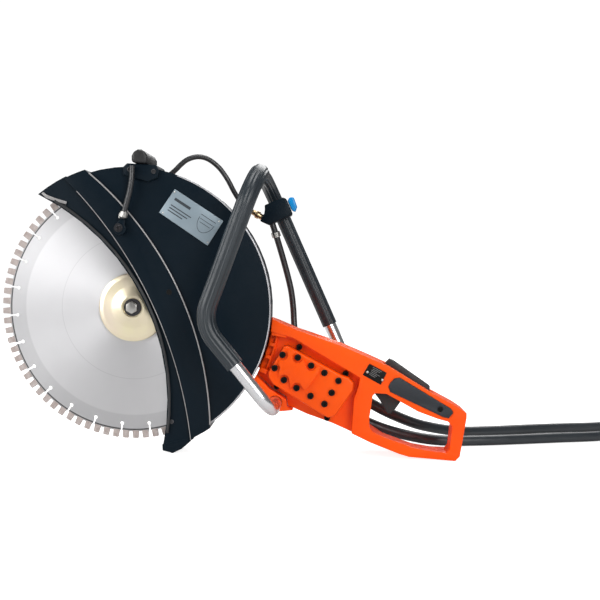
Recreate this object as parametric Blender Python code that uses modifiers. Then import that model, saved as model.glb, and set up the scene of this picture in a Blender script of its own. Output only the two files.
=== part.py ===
"""Hydraulic rescue cutter with a 16 inch diamond blade, as an assembly of separate pieces.

Lengths are given in millimetres and become metres where a mesh is made. Most pieces are laid out
in the saw's own frame: its origin is the spindle axis in the blade's middle plane, +X runs from
the blade to the rear handle, +Y to the motor side and +Z up. The frame is pitched so that the
guard's foot and the rear handle's corner stand on the ground plane, Z = 0.
"""

import math

import bmesh
import bpy
from mathutils import Matrix, Vector

MM = 0.001

# Driving dimensions of the whole saw
PITCH_DEG = 1.443
SPINDLE_PLACE = (-155.05, 2.9, 219.54)
PART_GAP = 0.4

BLADE_RADIUS = 203.0
CORE_RADIUS = 192.5
SLOT_RADIUS = 178.0
BLADE_THICKNESS = 3.4
SEGMENTS = 27
TEETH_PER_SEGMENT = 3
FIRST_SLOT_DEG = 130.5
ARBOR_RADIUS = 12.7
FLANGE_RADIUS = 52.5

DRUM_RADIUS = 213.0
BAND_RADIUS = 218.5
LIP_RADIUS = 221.0
DRUM_HALF_WIDTH = 30.0
LIP_HALF_WIDTH = 28.5
BAND_FACE_Y = -34.0
GUARD_INSIDE_RADIUS = 210.5
GUARD_INSIDE_HALF = 26.0
GUARD_HUB_RADIUS = 62.5

# Arcs that divide the guard's face, each as centre x, centre z and radius
FRONT_EDGE_ARC = (-293.6, -141.4, 349.2)
LIP_ARC = (-567.5, -272.2, 663.0)
BAND_ARC = (-389.5, -187.1, 510.6)

BODY_FRONT_RADIUS = 216.0
BODY_NEAR_Y = -24.0
BODY_SPLIT_Y = 14.0
BODY_FAR_Y = 46.0
POCKET_FLOOR_Y = -6.0
ARM_NEAR_Y = 34.5
ARM_FAR_Y = 56.0

GEAR_TEETH = 12
GEAR_MODULE = 4.0
GEAR_CENTRES = GEAR_TEETH * GEAR_MODULE

TUBE_RADIUS = 10.0
HYDRAULIC_HOSE_RADIUS = 8.5
WATER_HOSE_RADIUS = 4.1
INLET_HOSE_RADIUS = 5.0

# The body leans down towards the rear handle: unit vectors along it and square to it
LEAN = Vector((0.891, 0.0, -0.454))
SQUARE = Vector((0.454, 0.0, 0.891))

TRIGGER_AXIS = (381.0, 0.0, -118.0)
LOCK_AXIS = (447.0, 0.0, -134.0)
TAP_AXIS = (217.0, 76.0, 151.0)
TAP_ALONG = Vector((0.92, 0.0, 0.39)).normalized()
TAP_SQUARE = Vector((-0.39, 0.0, 0.92)).normalized()


def clear_scene():
    for old in list(bpy.data.objects):
        bpy.data.objects.remove(old)


def new_collection(name):
    made = bpy.data.collections.new(name)
    bpy.context.scene.collection.children.link(made)
    return made


def paint(name, colour, roughness, metallic):
    made = bpy.data.materials.new(name)
    made.use_nodes = True
    shader = made.node_tree.nodes["Principled BSDF"]
    shader.inputs["Base Color"].default_value = (*colour, 1.0)
    shader.inputs["Roughness"].default_value = roughness
    shader.inputs["Metallic"].default_value = metallic
    return made


def datum(name, place, parent=None, pitch=0.0):
    """An empty at a place in its parent's frame."""
    made = bpy.data.objects.new(name, None)
    made.location = Vector(place) * MM
    made.rotation_euler = (0.0, math.radians(pitch), 0.0)
    made.parent = parent
    parts.objects.link(made)
    return made


def settle(piece, material, pivot):
    """Gives a piece its material and hangs it on its datum, keeping its place in the saw's frame."""
    piece.data.materials.clear()
    piece.data.materials.append(material)
    piece.parent = pivot
    if pivot not in (saw, ground):
        piece.location = -pivot.location
    return piece


def object_of(name, shape):
    """Makes an object of a bmesh whose numbers are millimetres."""
    bmesh.ops.remove_doubles(shape, verts=shape.verts, dist=0.001)
    bmesh.ops.recalc_face_normals(shape, faces=shape.faces)
    bmesh.ops.scale(shape, vec=(MM, MM, MM), verts=shape.verts)
    data = bpy.data.meshes.new(name)
    shape.to_mesh(data)
    shape.free()
    data.set_sharp_from_angle(angle=math.radians(35))
    made = bpy.data.objects.new(name, data)
    parts.objects.link(made)
    return made


def mesh_of_curve(name, curve):
    """Turns a curve object into a mesh object with welded caps, and removes the curve."""
    bpy.context.view_layer.update()
    evaluated = curve.evaluated_get(bpy.context.evaluated_depsgraph_get())
    data = bpy.data.meshes.new_from_object(evaluated)
    shape = bmesh.new()
    shape.from_mesh(data)
    bmesh.ops.remove_doubles(shape, verts=shape.verts, dist=0.000002)
    bmesh.ops.recalc_face_normals(shape, faces=shape.faces)
    shape.to_mesh(data)
    shape.free()
    data.transform(curve.matrix_world)
    bpy.data.objects.remove(curve)
    data.set_sharp_from_angle(angle=math.radians(35))
    made = bpy.data.objects.new(name, data)
    parts.objects.link(made)
    return made


def plate(name, loops, y_near, y_far):
    """A flat outline in X and Z, with any holes as further loops, between two Y planes."""
    flat = bpy.data.curves.new(name, "CURVE")
    flat.dimensions = "2D"
    flat.fill_mode = "BOTH"
    flat.extrude = (y_far - y_near) / 2 * MM
    for loop in loops:
        spline = flat.splines.new("POLY")
        spline.points.add(len(loop) - 1)
        for point, (x, z) in zip(spline.points, loop):
            point.co = (x * MM, z * MM, 0.0, 1.0)
        spline.use_cyclic_u = True
    curve = bpy.data.objects.new(name, flat)
    curve.rotation_euler = (math.radians(90), 0.0, 0.0)
    curve.location = (0.0, (y_near + y_far) / 2 * MM, 0.0)
    parts.objects.link(curve)
    return mesh_of_curve(name, curve)


def rod(name, centre, radius, y_near, y_far, sides=16):
    """A plain round bar along Y."""
    shape = bmesh.new()
    turn = Matrix.Rotation(math.radians(90), 4, "X")
    place = Matrix.Translation((centre[0], (y_near + y_far) / 2, centre[1]))
    bmesh.ops.create_cone(
        shape, cap_ends=True, segments=sides, radius1=radius, radius2=radius,
        depth=y_far - y_near, matrix=place @ turn,
    )
    return object_of(name, shape)


def rod_between(name, start, end, radius, sides=16):
    """A plain round bar from one point to another."""
    start = Vector(start)
    along = Vector(end) - start
    shape = bmesh.new()
    bmesh.ops.create_cone(
        shape, cap_ends=True, segments=sides, radius1=radius, radius2=radius, depth=along.length,
        matrix=Matrix.Translation(start + along / 2) @ along.to_track_quat("Z", "Y").to_matrix().to_4x4(),
    )
    return object_of(name, shape)


def turned(name, profile, sides=24, start=(0.0, 0.0, 0.0), along=(0.0, 1.0, 0.0), closed=True):
    """A turned piece: profile points are (distance along its axis, radius), down its outer side."""
    data = bpy.data.meshes.new(name)
    points = [(radius * MM, 0.0, height * MM) for height, radius in profile]
    count = len(points)
    edges = [(i, i + 1) for i in range(count - 1)]
    if closed:
        edges.append((count - 1, 0))
    data.from_pydata(points, edges, [])
    made = bpy.data.objects.new(name, data)
    made.rotation_euler = Vector(along).to_track_quat("Z", "Y").to_euler()
    made.location = Vector(start) * MM
    parts.objects.link(made)
    screw = made.modifiers.new("turned", "SCREW")
    screw.steps = sides
    screw.render_steps = sides
    screw.use_merge_vertices = True
    screw.merge_threshold = 0.00001
    screw.use_smooth_shade = True
    return mesh_of_curve(name, made)


def ring(name, inner, outer, low, high, sides=24, start=(0.0, 0.0, 0.0), along=(0.0, 1.0, 0.0)):
    profile = [(high, inner), (high, outer), (low, outer), (low, inner)]
    return turned(name, profile, sides, start, along)


def wire(name, points, radius, resolution, capped=True):
    """A round tube, hose or wire along points, as a curve object."""
    path = bpy.data.curves.new(name, "CURVE")
    path.dimensions = "3D"
    path.bevel_depth = radius * MM
    path.bevel_resolution = resolution
    path.use_fill_caps = capped
    spline = path.splines.new("POLY")
    spline.points.add(len(points) - 1)
    for index, point in enumerate(points):
        spline.points[index].co = (*(Vector(point) * MM), 1.0)
    made = bpy.data.objects.new(name, path)
    parts.objects.link(made)
    return made


def sleeve(name, points, inner, outer, resolution=3):
    """A hollow sleeve along points: the inner surface, given its wall by Solidify."""
    piece = mesh_of_curve(name, wire(name, points, inner, resolution, capped=False))
    wall = piece.modifiers.new("wall", "SOLIDIFY")
    wall.thickness = (outer - inner) * MM
    wall.offset = 1.0
    return piece


def combine(piece, other, operation):
    """Cuts or joins another object, which then leaves the parts."""
    modifier = piece.modifiers.new(other.name, "BOOLEAN")
    modifier.operation = operation
    modifier.object = other
    parts.objects.unlink(other)
    helpers.objects.link(other)
    other.hide_render = True
    other.display_type = "WIRE"
    other.parent = saw


def cut(piece, *cutters):
    for cutter in cutters:
        combine(piece, cutter, "DIFFERENCE")


def join(piece, *others):
    for other in others:
        combine(piece, other, "UNION")


def polar(radius, degrees, centre=(0.0, 0.0)):
    angle = math.radians(degrees)
    return (centre[0] + radius * math.cos(angle), centre[1] + radius * math.sin(angle))


def arc(radius, first, last, steps, centre=(0.0, 0.0)):
    """Points on an arc, both ends included."""
    return [polar(radius, first + (last - first) * i / steps, centre) for i in range(steps + 1)]


def bearing_of(point, centre=(0.0, 0.0)):
    return math.degrees(math.atan2(point[1] - centre[1], point[0] - centre[0]))


def meets(radius, dividing):
    """Where a circle about the spindle meets a dividing arc: the upper point and the lower one."""
    centre = Vector(dividing[:2])
    reach = centre.length
    along = (radius**2 - dividing[2] ** 2 + reach**2) / (2 * reach)
    across = math.sqrt(radius**2 - along**2)
    ahead = centre / reach
    aside = Vector((-ahead.y, ahead.x)) * across
    both = sorted((ahead * along + aside, ahead * along - aside), key=lambda point: -point.y)
    return both[0], both[1]


def along_divider(dividing, begin, end, steps):
    centre, radius = dividing[:2], dividing[2]
    return arc(radius, bearing_of(begin, centre), bearing_of(end, centre), steps, centre)


def guard_section(name, radius, left, right, y_near, y_far):
    """One strip of the guard, from the dividing arc on its left to the one on its right, if any."""
    left_top, left_foot = meets(radius, left)
    if right is None:
        rim = arc(radius, bearing_of(left_top), bearing_of(left_foot), 30)
        outline = rim[:-1]
    else:
        right_top, right_foot = meets(radius, right)
        outline = arc(radius, bearing_of(left_top), bearing_of(right_top), 3)[:-1]
        outline += along_divider(right, right_top, right_foot, 10)[:-1]
        outline += arc(radius, bearing_of(right_foot), bearing_of(left_foot), 3)[:-1]
    outline += along_divider(left, left_foot, left_top, 12)[:-1]
    return plate(name, [outline], y_near, y_far)


def smooth_path(route, spacing, smooth=12):
    """Evenly spaced points on a smooth curve through a route's own points."""
    knots = [Vector(point) for point in route]
    knots = [knots[0] * 2 - knots[1], *knots, knots[-1] * 2 - knots[-2]]
    fine = []
    for a, b, c, d in zip(knots, knots[1:], knots[2:], knots[3:]):
        for step in range(smooth):
            t = step / smooth
            fine.append(
                0.5 * (2 * b + (c - a) * t + (2 * a - 5 * b + 4 * c - d) * t**2
                       + (3 * b - 3 * c + d - a) * t**3)
            )
    fine.append(knots[-2])
    length = sum((q - p).length for p, q in zip(fine, fine[1:]))
    count = max(2, round(length / spacing))
    return [along_path(fine, length * i / count) for i in range(count + 1)]


def along_path(points, distance):
    """The point at a distance from the start of a path."""
    for p, q in zip(points, points[1:]):
        span = (q - p).length
        if distance <= span:
            return p + (q - p) * (distance / span if span else 0.0)
        distance -= span
    return points[-1]


def bent_path(corners, radii, steps=6):
    """A path of straight runs with a round bend of its own radius at each inner corner."""
    path = [Vector(corners[0])]
    for before, corner, after, radius in zip(corners, corners[1:], corners[2:], radii):
        corner = Vector(corner)
        come = (corner - Vector(before)).normalized()
        leave = (Vector(after) - corner).normalized()
        angle = come.angle(leave)
        back = radius * math.tan(angle / 2)
        begin = corner - come * back
        inward = (leave - come * leave.dot(come)).normalized()
        centre = begin + inward * radius
        for step in range(steps + 1):
            turn = angle * step / steps
            path.append(centre - inward * radius * math.cos(turn) + come * radius * math.sin(turn))
    path.append(Vector(corners[-1]))
    return path


def stretch(points, begin, end):
    """The part of a path between two distances from its start."""
    travelled = 0.0
    kept = [along_path(points, begin)]
    for p, q in zip(points, points[1:]):
        travelled += (q - p).length
        if begin + 1.0 < travelled < end - 1.0:
            kept.append(q)
    kept.append(along_path(points, end))
    return kept


def leaning(centre, half_length, half_height):
    """A rectangle that leans with the body."""
    middle = Vector((centre[0], 0.0, centre[1]))
    corners = []
    for u, v in ((-1, -1), (1, -1), (1, 1), (-1, 1)):
        corner = middle + LEAN * half_length * u + SQUARE * half_height * v
        corners.append((corner.x, corner.z))
    return corners


# ---------------------------------------------------------------- blade, flanges and spindle

def blade_outline():
    """Three teeth to a segment, and a cooling slot between segments."""
    pitch = 360.0 / SEGMENTS / TEETH_PER_SEGMENT
    outline = []
    for tooth in range(SEGMENTS * TEETH_PER_SEGMENT):
        middle = FIRST_SLOT_DEG + (tooth + 0.5) * pitch
        for radius, offset in (
            (CORE_RADIUS, -1.6), (BLADE_RADIUS, -1.2), (BLADE_RADIUS, 1.2), (CORE_RADIUS, 1.6),
        ):
            outline.append(polar(radius, middle + offset))
        if tooth % TEETH_PER_SEGMENT == TEETH_PER_SEGMENT - 1:
            slot = middle + pitch / 2
            for radius, offset in (
                (CORE_RADIUS, -0.41), (SLOT_RADIUS, -0.55), (SLOT_RADIUS, 0.55), (CORE_RADIUS, 0.41),
            ):
                outline.append(polar(radius, slot + offset))
    return outline


def gear_outline(phase_deg, bore):
    """Straight-flanked teeth, with a bore."""
    pitch_radius = GEAR_TEETH * GEAR_MODULE / 2
    outline = []
    for tooth in range(GEAR_TEETH):
        middle = phase_deg + tooth * 360.0 / GEAR_TEETH
        for radius, half_width in (
            (pitch_radius - 4.6, 3.4), (pitch_radius + 3.6, 1.0), (pitch_radius + 3.6, -1.0),
            (pitch_radius - 4.6, -3.4),
        ):
            outline.append(polar(radius, middle - math.degrees(half_width / radius)))
    return [outline, arc(bore, 0, 360, 16)[:-1]]


def make_cutting_group():
    blade = plate(
        "blade", [blade_outline(), arc(ARBOR_RADIUS, 0, 360, 24)[:-1]],
        -BLADE_THICKNESS / 2, BLADE_THICKNESS / 2,
    )
    settle(blade, STEEL, saw)
    inner_flange = ring("inner_flange", ARBOR_RADIUS, FLANGE_RADIUS, 2.1, 12.0, 32)
    settle(inner_flange, ZINC, saw)
    # Rim, step, cone and the recess that takes the washer and the bolt's head
    outer_profile = [
        (-2.1, 12.7), (-2.1, 52.5), (-7.0, 52.5), (-9.0, 46.0), (-9.4, 33.0), (-15.0, 17.0),
        (-15.0, 14.6), (-9.6, 14.6), (-9.6, 12.7),
    ]
    settle(turned("outer_flange", outer_profile, 32), ZINC, saw)
    settle(ring("blade_washer", 5.4, 13.4, -12.9, -10.0, 24), DARK_STEEL, saw)
    bolt = turned("blade_bolt", [(22.0, 0.0), (22.0, 5.0), (-16.0, 5.0), (-16.0, 0.0)], 12, closed=False)
    head = rod("bolt_head", (0.0, 0.0), 9.6, -20.5, -13.3, sides=6)
    join(bolt, head)
    settle(bolt, DARK_STEEL, saw)
    spindle = turned(
        "spindle",
        [(83.5, 0.0), (83.5, 10.0), (58.0, 10.0), (58.0, 15.0), (20.5, 15.0), (20.5, 20.0),
         (12.4, 20.0), (12.4, 12.4), (-7.0, 12.4), (-7.0, 5.4), (24.0, 5.4), (24.0, 0.0)],
        24, closed=False,
    )
    settle(spindle, STEEL, saw)
    drive_gear = plate("drive_gear", gear_outline(0.0, 10.3), 61.0, 80.0)
    settle(drive_gear, DARK_STEEL, saw)
    idler_gear = plate("idler_gear", gear_outline(180.0 + 180.0 / GEAR_TEETH, 8.3), 61.0, 80.0)
    idler_gear.data.transform(Matrix.Translation((GEAR_CENTRES * MM, 0.0, 0.0)))
    settle(idler_gear, DARK_STEEL, datum("idler_axis", (GEAR_CENTRES, 0.0, 0.0), saw))


# ---------------------------------------------------------------- arm and gear motor

def body_front(radius, steps=4):
    """The hollow front that the guard turns in, from its top down to the tube's relief."""
    return arc(radius, -4.5, -28.0, steps) + [(212.0, -122.0), (236.0, -137.0), (238.0, -150.5)]


def two_lobes(radius):
    """The outline round both gears."""
    right = arc(radius, 90.0, -90.0, 10, (GEAR_CENTRES, 0.0))
    return right + arc(radius, 270.0, 90.0, 10)


def make_arm_and_motor():
    hub = arc(70.0, 38.0, 300.0, 18)
    arm = plate(
        "cutting_arm",
        [hub + [(120.0, -62.0), (199.0, -101.0), (212.0, -122.0), (236.0, -137.0), (238.0, -150.5),
                (267.0, -162.0), (302.0, -174.5), (302.0, -51.5), (252.0, -35.0), (222.3, -22.0),
                (150.0, 4.0)],
         arc(30.0, 0, 360, 24)[:-1]],
        ARM_NEAR_Y, ARM_FAR_Y,
    )
    block = plate(
        "arm_block",
        [arc(BODY_FRONT_RADIUS + 2, -5.0, -26.5, 4)
         + [(212.0, -121.5), (236.0, -136.5), (238.5, -150.0), (267.5, -161.5), (301.5, -174.0),
            (301.5, -52.0), (252.5, -35.8)]],
        BODY_SPLIT_Y + PART_GAP, ARM_NEAR_Y + 6.0,
    )
    ports = plate("port_block", [leaning((275.0, -125.0), 26.0, 32.0)], ARM_FAR_Y - 6.0, 82.0)
    join(arm, block, ports)
    settle(arm, ORANGE, saw)

    # The ring stands on the arm and carries the guard's hub, and its lip keeps the guard on
    bearing = turned(
        "guard_bearing_ring",
        [(34.1, 31.0), (34.1, 61.9), (25.0, 61.9), (25.0, 58.0), (21.0, 58.0), (21.0, 31.0)], 32,
    )
    settle(bearing, STEEL, saw)
    settle(ring("spindle_seal", 15.4, 30.6, 24.0, 33.0), RUBBER, saw)
    settle(ring("spindle_bearing", 15.4, 29.6, 36.0, 54.0), STEEL, saw)

    housing = plate("motor_housing", [two_lobes(42.0)], ARM_FAR_Y + PART_GAP, 84.0)
    chamber = plate("gear_chamber", [two_lobes(28.4)], 60.4, 90.0)
    shaft_hole = rod("housing_bore", (0.0, 0.0), 15.6, 50.0, 62.0, sides=24)
    cut(housing, chamber, shaft_hole)
    settle(housing, CASTING, saw)
    settle(rod("idler_shaft", (GEAR_CENTRES, 0.0), 8.0, 60.8, 83.9), STEEL, saw)
    cover = plate("motor_end_cover", [two_lobes(42.0)], 84.0 + PART_GAP, 96.0)
    settle(cover, CASTING, saw)


# ---------------------------------------------------------------- guard

def make_guard():
    drum_edge = (LIP_ARC[0] + 8.0, LIP_ARC[1] + 4.0, LIP_ARC[2])
    lip_edge = (LIP_ARC[0] + 3.0, LIP_ARC[1] + 1.5, LIP_ARC[2])
    shell = guard_section(
        "guard_shell", DRUM_RADIUS, drum_edge, None, -DRUM_HALF_WIDTH, DRUM_HALF_WIDTH
    )
    lip = guard_section(
        "guard_lip", LIP_RADIUS, FRONT_EDGE_ARC, lip_edge, -LIP_HALF_WIDTH, LIP_HALF_WIDTH
    )
    band = guard_section(
        "guard_band", BAND_RADIUS, LIP_ARC, BAND_ARC, BAND_FACE_Y, DRUM_HALF_WIDTH + 0.8
    )
    foot = plate(
        "guard_foot", [[(47.5, -208.0), (48.0, -217.0), (59.0, -219.6), (63.0, -221.2), (77.0, -214.6),
                        (91.0, -202.5), (80.0, -200.0)]],
        -LIP_HALF_WIDTH - 0.5, LIP_HALF_WIDTH + 0.5,
    )
    join(shell, band, lip, foot)
    cut(
        shell,
        rod("guard_inside", (0.0, 0.0), GUARD_INSIDE_RADIUS, -GUARD_INSIDE_HALF, GUARD_INSIDE_HALF, 60),
    )
    join(shell, ring("guard_hub", GUARD_HUB_RADIUS, 84.0, 25.3, 31.4, 40))
    cut(shell, rod("hub_clearance", (0.0, 0.0), GUARD_HUB_RADIUS, 20.0, 40.0, 40))
    settle(shell, BLUE_BLACK, guard)

    # A rubber bead runs down the front edge of the face
    top, foot_end = meets(196.0, FRONT_EDGE_ARC)
    bead_arc = (FRONT_EDGE_ARC[0] + 4.0, FRONT_EDGE_ARC[1] + 2.0, FRONT_EDGE_ARC[2])
    bead = [(x, -LIP_HALF_WIDTH - 2.6, z) for x, z in along_divider(bead_arc, top, foot_end, 14)]
    settle(wire("guard_edge_strip", bead, 2.1, 2), RUBBER, guard)

    # The saddle straddles the rim, and the grip bar lies across it
    saddle = plate(
        "guard_saddle",
        [[(-8.0, 201.0), (-8.0, 212.0), (-2.0, 217.4), (42.0, 214.8), (46.0, 206.0), (44.0, 196.0),
          (30.0, 190.0), (0.0, 198.0)]],
        -36.0, 36.0,
    )
    cut(saddle, rod("rim_clearance", (0.0, 0.0), DRUM_RADIUS + PART_GAP, -30.5, 30.5, 72))
    settle(saddle, BLUE_BLACK, guard)
    grip = plate(
        "guard_adjuster_grip",
        [[(6.0, 217.9), (6.0, 228.0), (9.5, 234.0), (15.0, 237.3), (21.0, 237.3), (26.5, 234.0),
          (30.0, 228.0), (30.0, 216.6)]],
        -45.0, 45.0,
    )
    settle(grip, BLACK_PLASTIC, guard)

    for side, name in ((-1.0, "near"), (1.0, "far")):
        face = BAND_FACE_Y if side < 0 else DRUM_HALF_WIDTH + 0.8
        inner = face + side * PART_GAP
        outer = inner + side * 10.0
        eye = arc(9.5, 40.0, -220.0, 9, (-12.0, 119.0)) + [(-11.0, 134.0), (-4.0, 133.0)]
        nozzle = plate(f"nozzle_{name}", [eye], min(inner, outer), max(inner, outer))
        settle(nozzle, BLUE_BLACK, guard)
        depth = 40.6 * side
        route = [
            (-8.2, depth, 134.6), (-5.5, depth, 146.0), (-0.5, depth + side, 163.0),
            (3.5, depth + side * 1.5, 178.0), (6.0, depth + side * 1.5, 194.0), (7.0, depth + side, 213.0),
        ]
        hose = wire(f"nozzle_hose_{name}", smooth_path(route, 9.0), WATER_HOSE_RADIUS, 2)
        settle(hose, RUBBER, guard)
    clamp = ring(
        "nozzle_hose_clamp", 4.6, 6.2, 0.0, 8.0, 16, (-7.8, -40.7, 136.6), (0.3, 0.0, 1.0)
    )
    settle(clamp, STEEL, guard)

    label = plate(
        "guard_plate", [[(69.0, 179.0), (142.0, 131.0), (118.0, 94.0), (45.0, 144.0)]],
        -DRUM_HALF_WIDTH - 1.4, -DRUM_HALF_WIDTH - PART_GAP,
    )
    settle(label, PALE_METAL, guard)


# ---------------------------------------------------------------- body and rear handle

BODY_TOP = [
    (509.0, -166.0), (509.0, -159.0), (494.0, -149.0), (455.0, -128.0), (392.0, -89.0), (361.0, -75.0),
    (320.0, -57.5), (252.0, -33.5), (228.0, -23.0),
]
BODY_UNDERSIDE = [
    (267.0, -163.5), (306.0, -177.5), (335.0, -190.5), (364.0, -204.5), (407.0, -221.5),
    (422.0, -226.0), (492.0, -232.0), (499.0, -225.0), (505.0, -190.0),
]
HANDLE_OPENING = [
    (367.0, -133.0), (371.0, -129.0), (388.0, -130.0), (411.0, -143.0), (436.0, -157.0),
    (466.0, -168.0), (481.0, -172.0), (488.0, -180.0), (487.0, -188.0), (484.0, -214.0),
    (479.0, -220.0), (461.0, -218.0), (432.0, -213.0), (412.0, -206.0), (386.0, -197.0),
    (367.0, -188.0), (362.0, -180.0), (362.0, -167.0), (365.0, -148.0),
]
FAR_HANDLE_OPENING = HANDLE_OPENING[:6] + [
    (484.0, -170.0), (493.0, -179.0), (492.0, -188.0), (490.0, -216.0), (484.0, -223.5),
    (461.0, -222.5), (432.0, -217.5), (412.0, -210.5), (386.0, -201.0),
] + HANDLE_OPENING[15:]
GRIP_INSERT = [
    (391.0, -119.0), (394.0, -113.0), (400.0, -106.5), (408.0, -105.5), (485.0, -152.0),
    (488.5, -158.0), (482.0, -166.5), (474.0, -165.0), (394.0, -127.0),
]


def grown(outline, by):
    """The outline moved outwards, for a pocket round a piece of this outline."""
    middle = sum((Vector(point) for point in outline), Vector((0.0, 0.0))) / len(outline)
    return [tuple(Vector(point) + (Vector(point) - middle).normalized() * by) for point in outline]


def make_body():
    near = plate(
        "handle_shell_near", [body_front(BODY_FRONT_RADIUS) + BODY_UNDERSIDE + BODY_TOP, HANDLE_OPENING],
        BODY_NEAR_Y, BODY_SPLIT_Y,
    )
    split_x = 302.4
    far = plate(
        "handle_shell_far",
        [[(split_x, -176.2)] + BODY_UNDERSIDE[1:] + BODY_TOP[:-2] + [(split_x, -51.6)],
         FAR_HANDLE_OPENING],
        BODY_SPLIT_Y + PART_GAP, BODY_FAR_Y,
    )
    pocket = plate(
        "flank_pocket",
        [[(190.0, -30.0), (226.0, -39.0), (247.0, -45.5), (348.5, -105.6), (345.5, -119.0),
          (339.0, -137.6), (334.0, -210.0), (180.0, -210.0)]],
        -40.0, POCKET_FLOOR_Y,
    )
    valve_room = plate(
        "valve_room",
        [[(229.0, -106.0), (262.0, -40.5), (356.0, -82.0), (356.0, -126.0), (344.0, -160.0),
          (330.0, -178.0), (262.0, -152.0), (240.0, -128.0)]],
        POCKET_FLOOR_Y + 4.0, 30.0,
    )
    beam_room = [
        (352.5, -75.5), (361.0, -79.0), (390.0, -92.5), (455.0, -132.0), (470.0, -142.0),
        (464.0, -161.5), (436.0, -151.5), (411.0, -137.5), (390.0, -125.0), (371.0, -123.0),
        (361.0, -127.0), (352.5, -127.0),
    ]
    near_room = plate("near_beam_room", [beam_room], -18.5, 30.0)
    far_room = plate("far_beam_room", [beam_room], 5.0, BODY_FAR_Y - 4.5)
    trigger_slot = [(366.0, -112.0), (421.0, -132.0), (417.0, -153.0), (366.0, -142.0)]
    lock_slot = [(381.0, -94.0), (389.0, -76.0), (467.0, -121.0), (459.0, -137.5)]
    for shell, room, low, high in ((near, near_room, -1.0, 20.0), (far, far_room, 8.0, 23.0)):
        cut(shell, room)
        for title, slot in (("trigger_slot", trigger_slot), ("lock_slot", lock_slot)):
            cut(shell, plate(f"{title}_{shell.name}", [slot], low, high))
    cut(near, pocket, valve_room)
    insert_room = grown(GRIP_INSERT, 0.5)
    cut(near, plate("near_insert_room", [insert_room], BODY_NEAR_Y - 5.0, BODY_NEAR_Y + 2.0))
    cut(far, plate("far_insert_room", [insert_room], BODY_FAR_Y - 2.0, BODY_FAR_Y + 5.0))
    settle(near, ORANGE, saw)
    settle(far, ORANGE, saw)

    near_insert = plate("grip_insert_near", [GRIP_INSERT], BODY_NEAR_Y - 2.2, BODY_NEAR_Y + 1.6)
    cut(near_insert, rod("insert_hole", (469.0, -153.0), 4.3, -40.0, 0.0, 12))
    settle(near_insert, RUBBER, saw)
    far_insert = plate("grip_insert_far", [GRIP_INSERT], BODY_FAR_Y - 1.6, BODY_FAR_Y + 2.2)
    settle(far_insert, RUBBER, saw)
    screw = rod("grip_insert_screw", (469.0, -153.0), 3.9, BODY_NEAR_Y - 1.0, BODY_NEAR_Y + 1.6, 12)
    settle(screw, DARK_STEEL, saw)
    label = plate(
        "rating_plate", [[(362.0, -84.0), (388.0, -98.0), (379.0, -116.0), (352.0, -101.0)]],
        BODY_NEAR_Y - 1.3, BODY_NEAR_Y - 0.3,
    )
    settle(label, BLACK_PLASTIC, saw)


# ---------------------------------------------------------------- hydraulic valve and controls

SPOOL_LINE = Vector((284.0, 6.0, -64.0))


def make_valve_and_controls():
    block = plate("valve_block", [leaning((284.0, -91.0), 39.0, 33.0)], -1.6, 13.6)
    cut(block, rod_between("spool_bore", SPOOL_LINE - LEAN * 60, SPOOL_LINE + LEAN * 60, 4.4, 20))
    settle(block, CASTING, saw)
    cover_outline = [
        (233.0, -58.5), (209.5, -97.0), (210.0, -104.5), (217.0, -115.0), (292.0, -161.5),
        (300.0, -165.5), (309.5, -163.0), (336.5, -124.0), (338.0, -113.0), (330.5, -105.0),
        (321.0, -102.0), (242.0, -59.0), (238.0, -57.5),
    ]
    gasket = plate("cover_gasket", [cover_outline], POCKET_FLOOR_Y - 1.3, POCKET_FLOOR_Y - 0.3)
    settle(gasket, BLACK_PLASTIC, saw)
    cover = plate("valve_cover", [cover_outline], -34.0, POCKET_FLOOR_Y - 1.6)
    settle(cover, ORANGE, saw)

    spool = rod_between("valve_spool", SPOOL_LINE - LEAN * 22, SPOOL_LINE + LEAN * 92, 4.0, 12)
    settle(spool, STEEL, datum("spool_axis", SPOOL_LINE, saw))

    trigger_pivot = datum("trigger_axis", TRIGGER_AXIS, saw)
    trigger = plate(
        "trigger",
        [[(371.0, -98.5), (378.0, -97.0), (388.0, -113.0), (401.0, -127.0), (413.5, -142.0),
          (403.0, -157.0), (396.0, -164.0), (391.0, -164.0), (379.0, -143.0), (371.5, -133.0),
          (373.0, -117.0), (371.5, -106.0)],
         arc(2.4, 0, 360, 12, (TRIGGER_AXIS[0], TRIGGER_AXIS[2]))[:-1]],
        0.5, 18.5,
    )
    settle(trigger, BLACK_PLASTIC, trigger_pivot)
    settle(rod("trigger_pin", (TRIGGER_AXIS[0], TRIGGER_AXIS[2]), 2.0, -18.2, 41.2, 12), STEEL, saw)
    turns, steps, rise = 3, 10, 1.9
    winding = arc(3.4, 0, 360 * turns, steps * turns, (TRIGGER_AXIS[0], TRIGGER_AXIS[2]))
    coil = [(x, 20.5 + rise * i / steps, z) for i, (x, z) in enumerate(winding)]
    coil.append((TRIGGER_AXIS[0] - 3.0, coil[-1][1] + 0.6, TRIGGER_AXIS[2] + 10.0))
    settle(wire("trigger_spring", coil, 0.6, 2), STEEL, saw)

    lock = plate(
        "trigger_lock",
        [[(386.0, -95.5), (389.5, -85.0), (395.0, -80.0), (401.0, -82.5), (456.0, -121.0), (455.5, -133.0),
          (450.0, -139.0), (443.0, -138.0), (441.0, -131.0)],
         arc(1.8, 0, 360, 10, (LOCK_AXIS[0], LOCK_AXIS[2]))[:-1]],
        0.5, 21.0,
    )
    settle(lock, BLACK_PLASTIC, datum("lock_axis", LOCK_AXIS, saw))
    settle(rod("lock_pin", (LOCK_AXIS[0], LOCK_AXIS[2]), 1.5, -18.2, 41.2, 10), STEEL, saw)


# ---------------------------------------------------------------- front handle and water system

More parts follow.
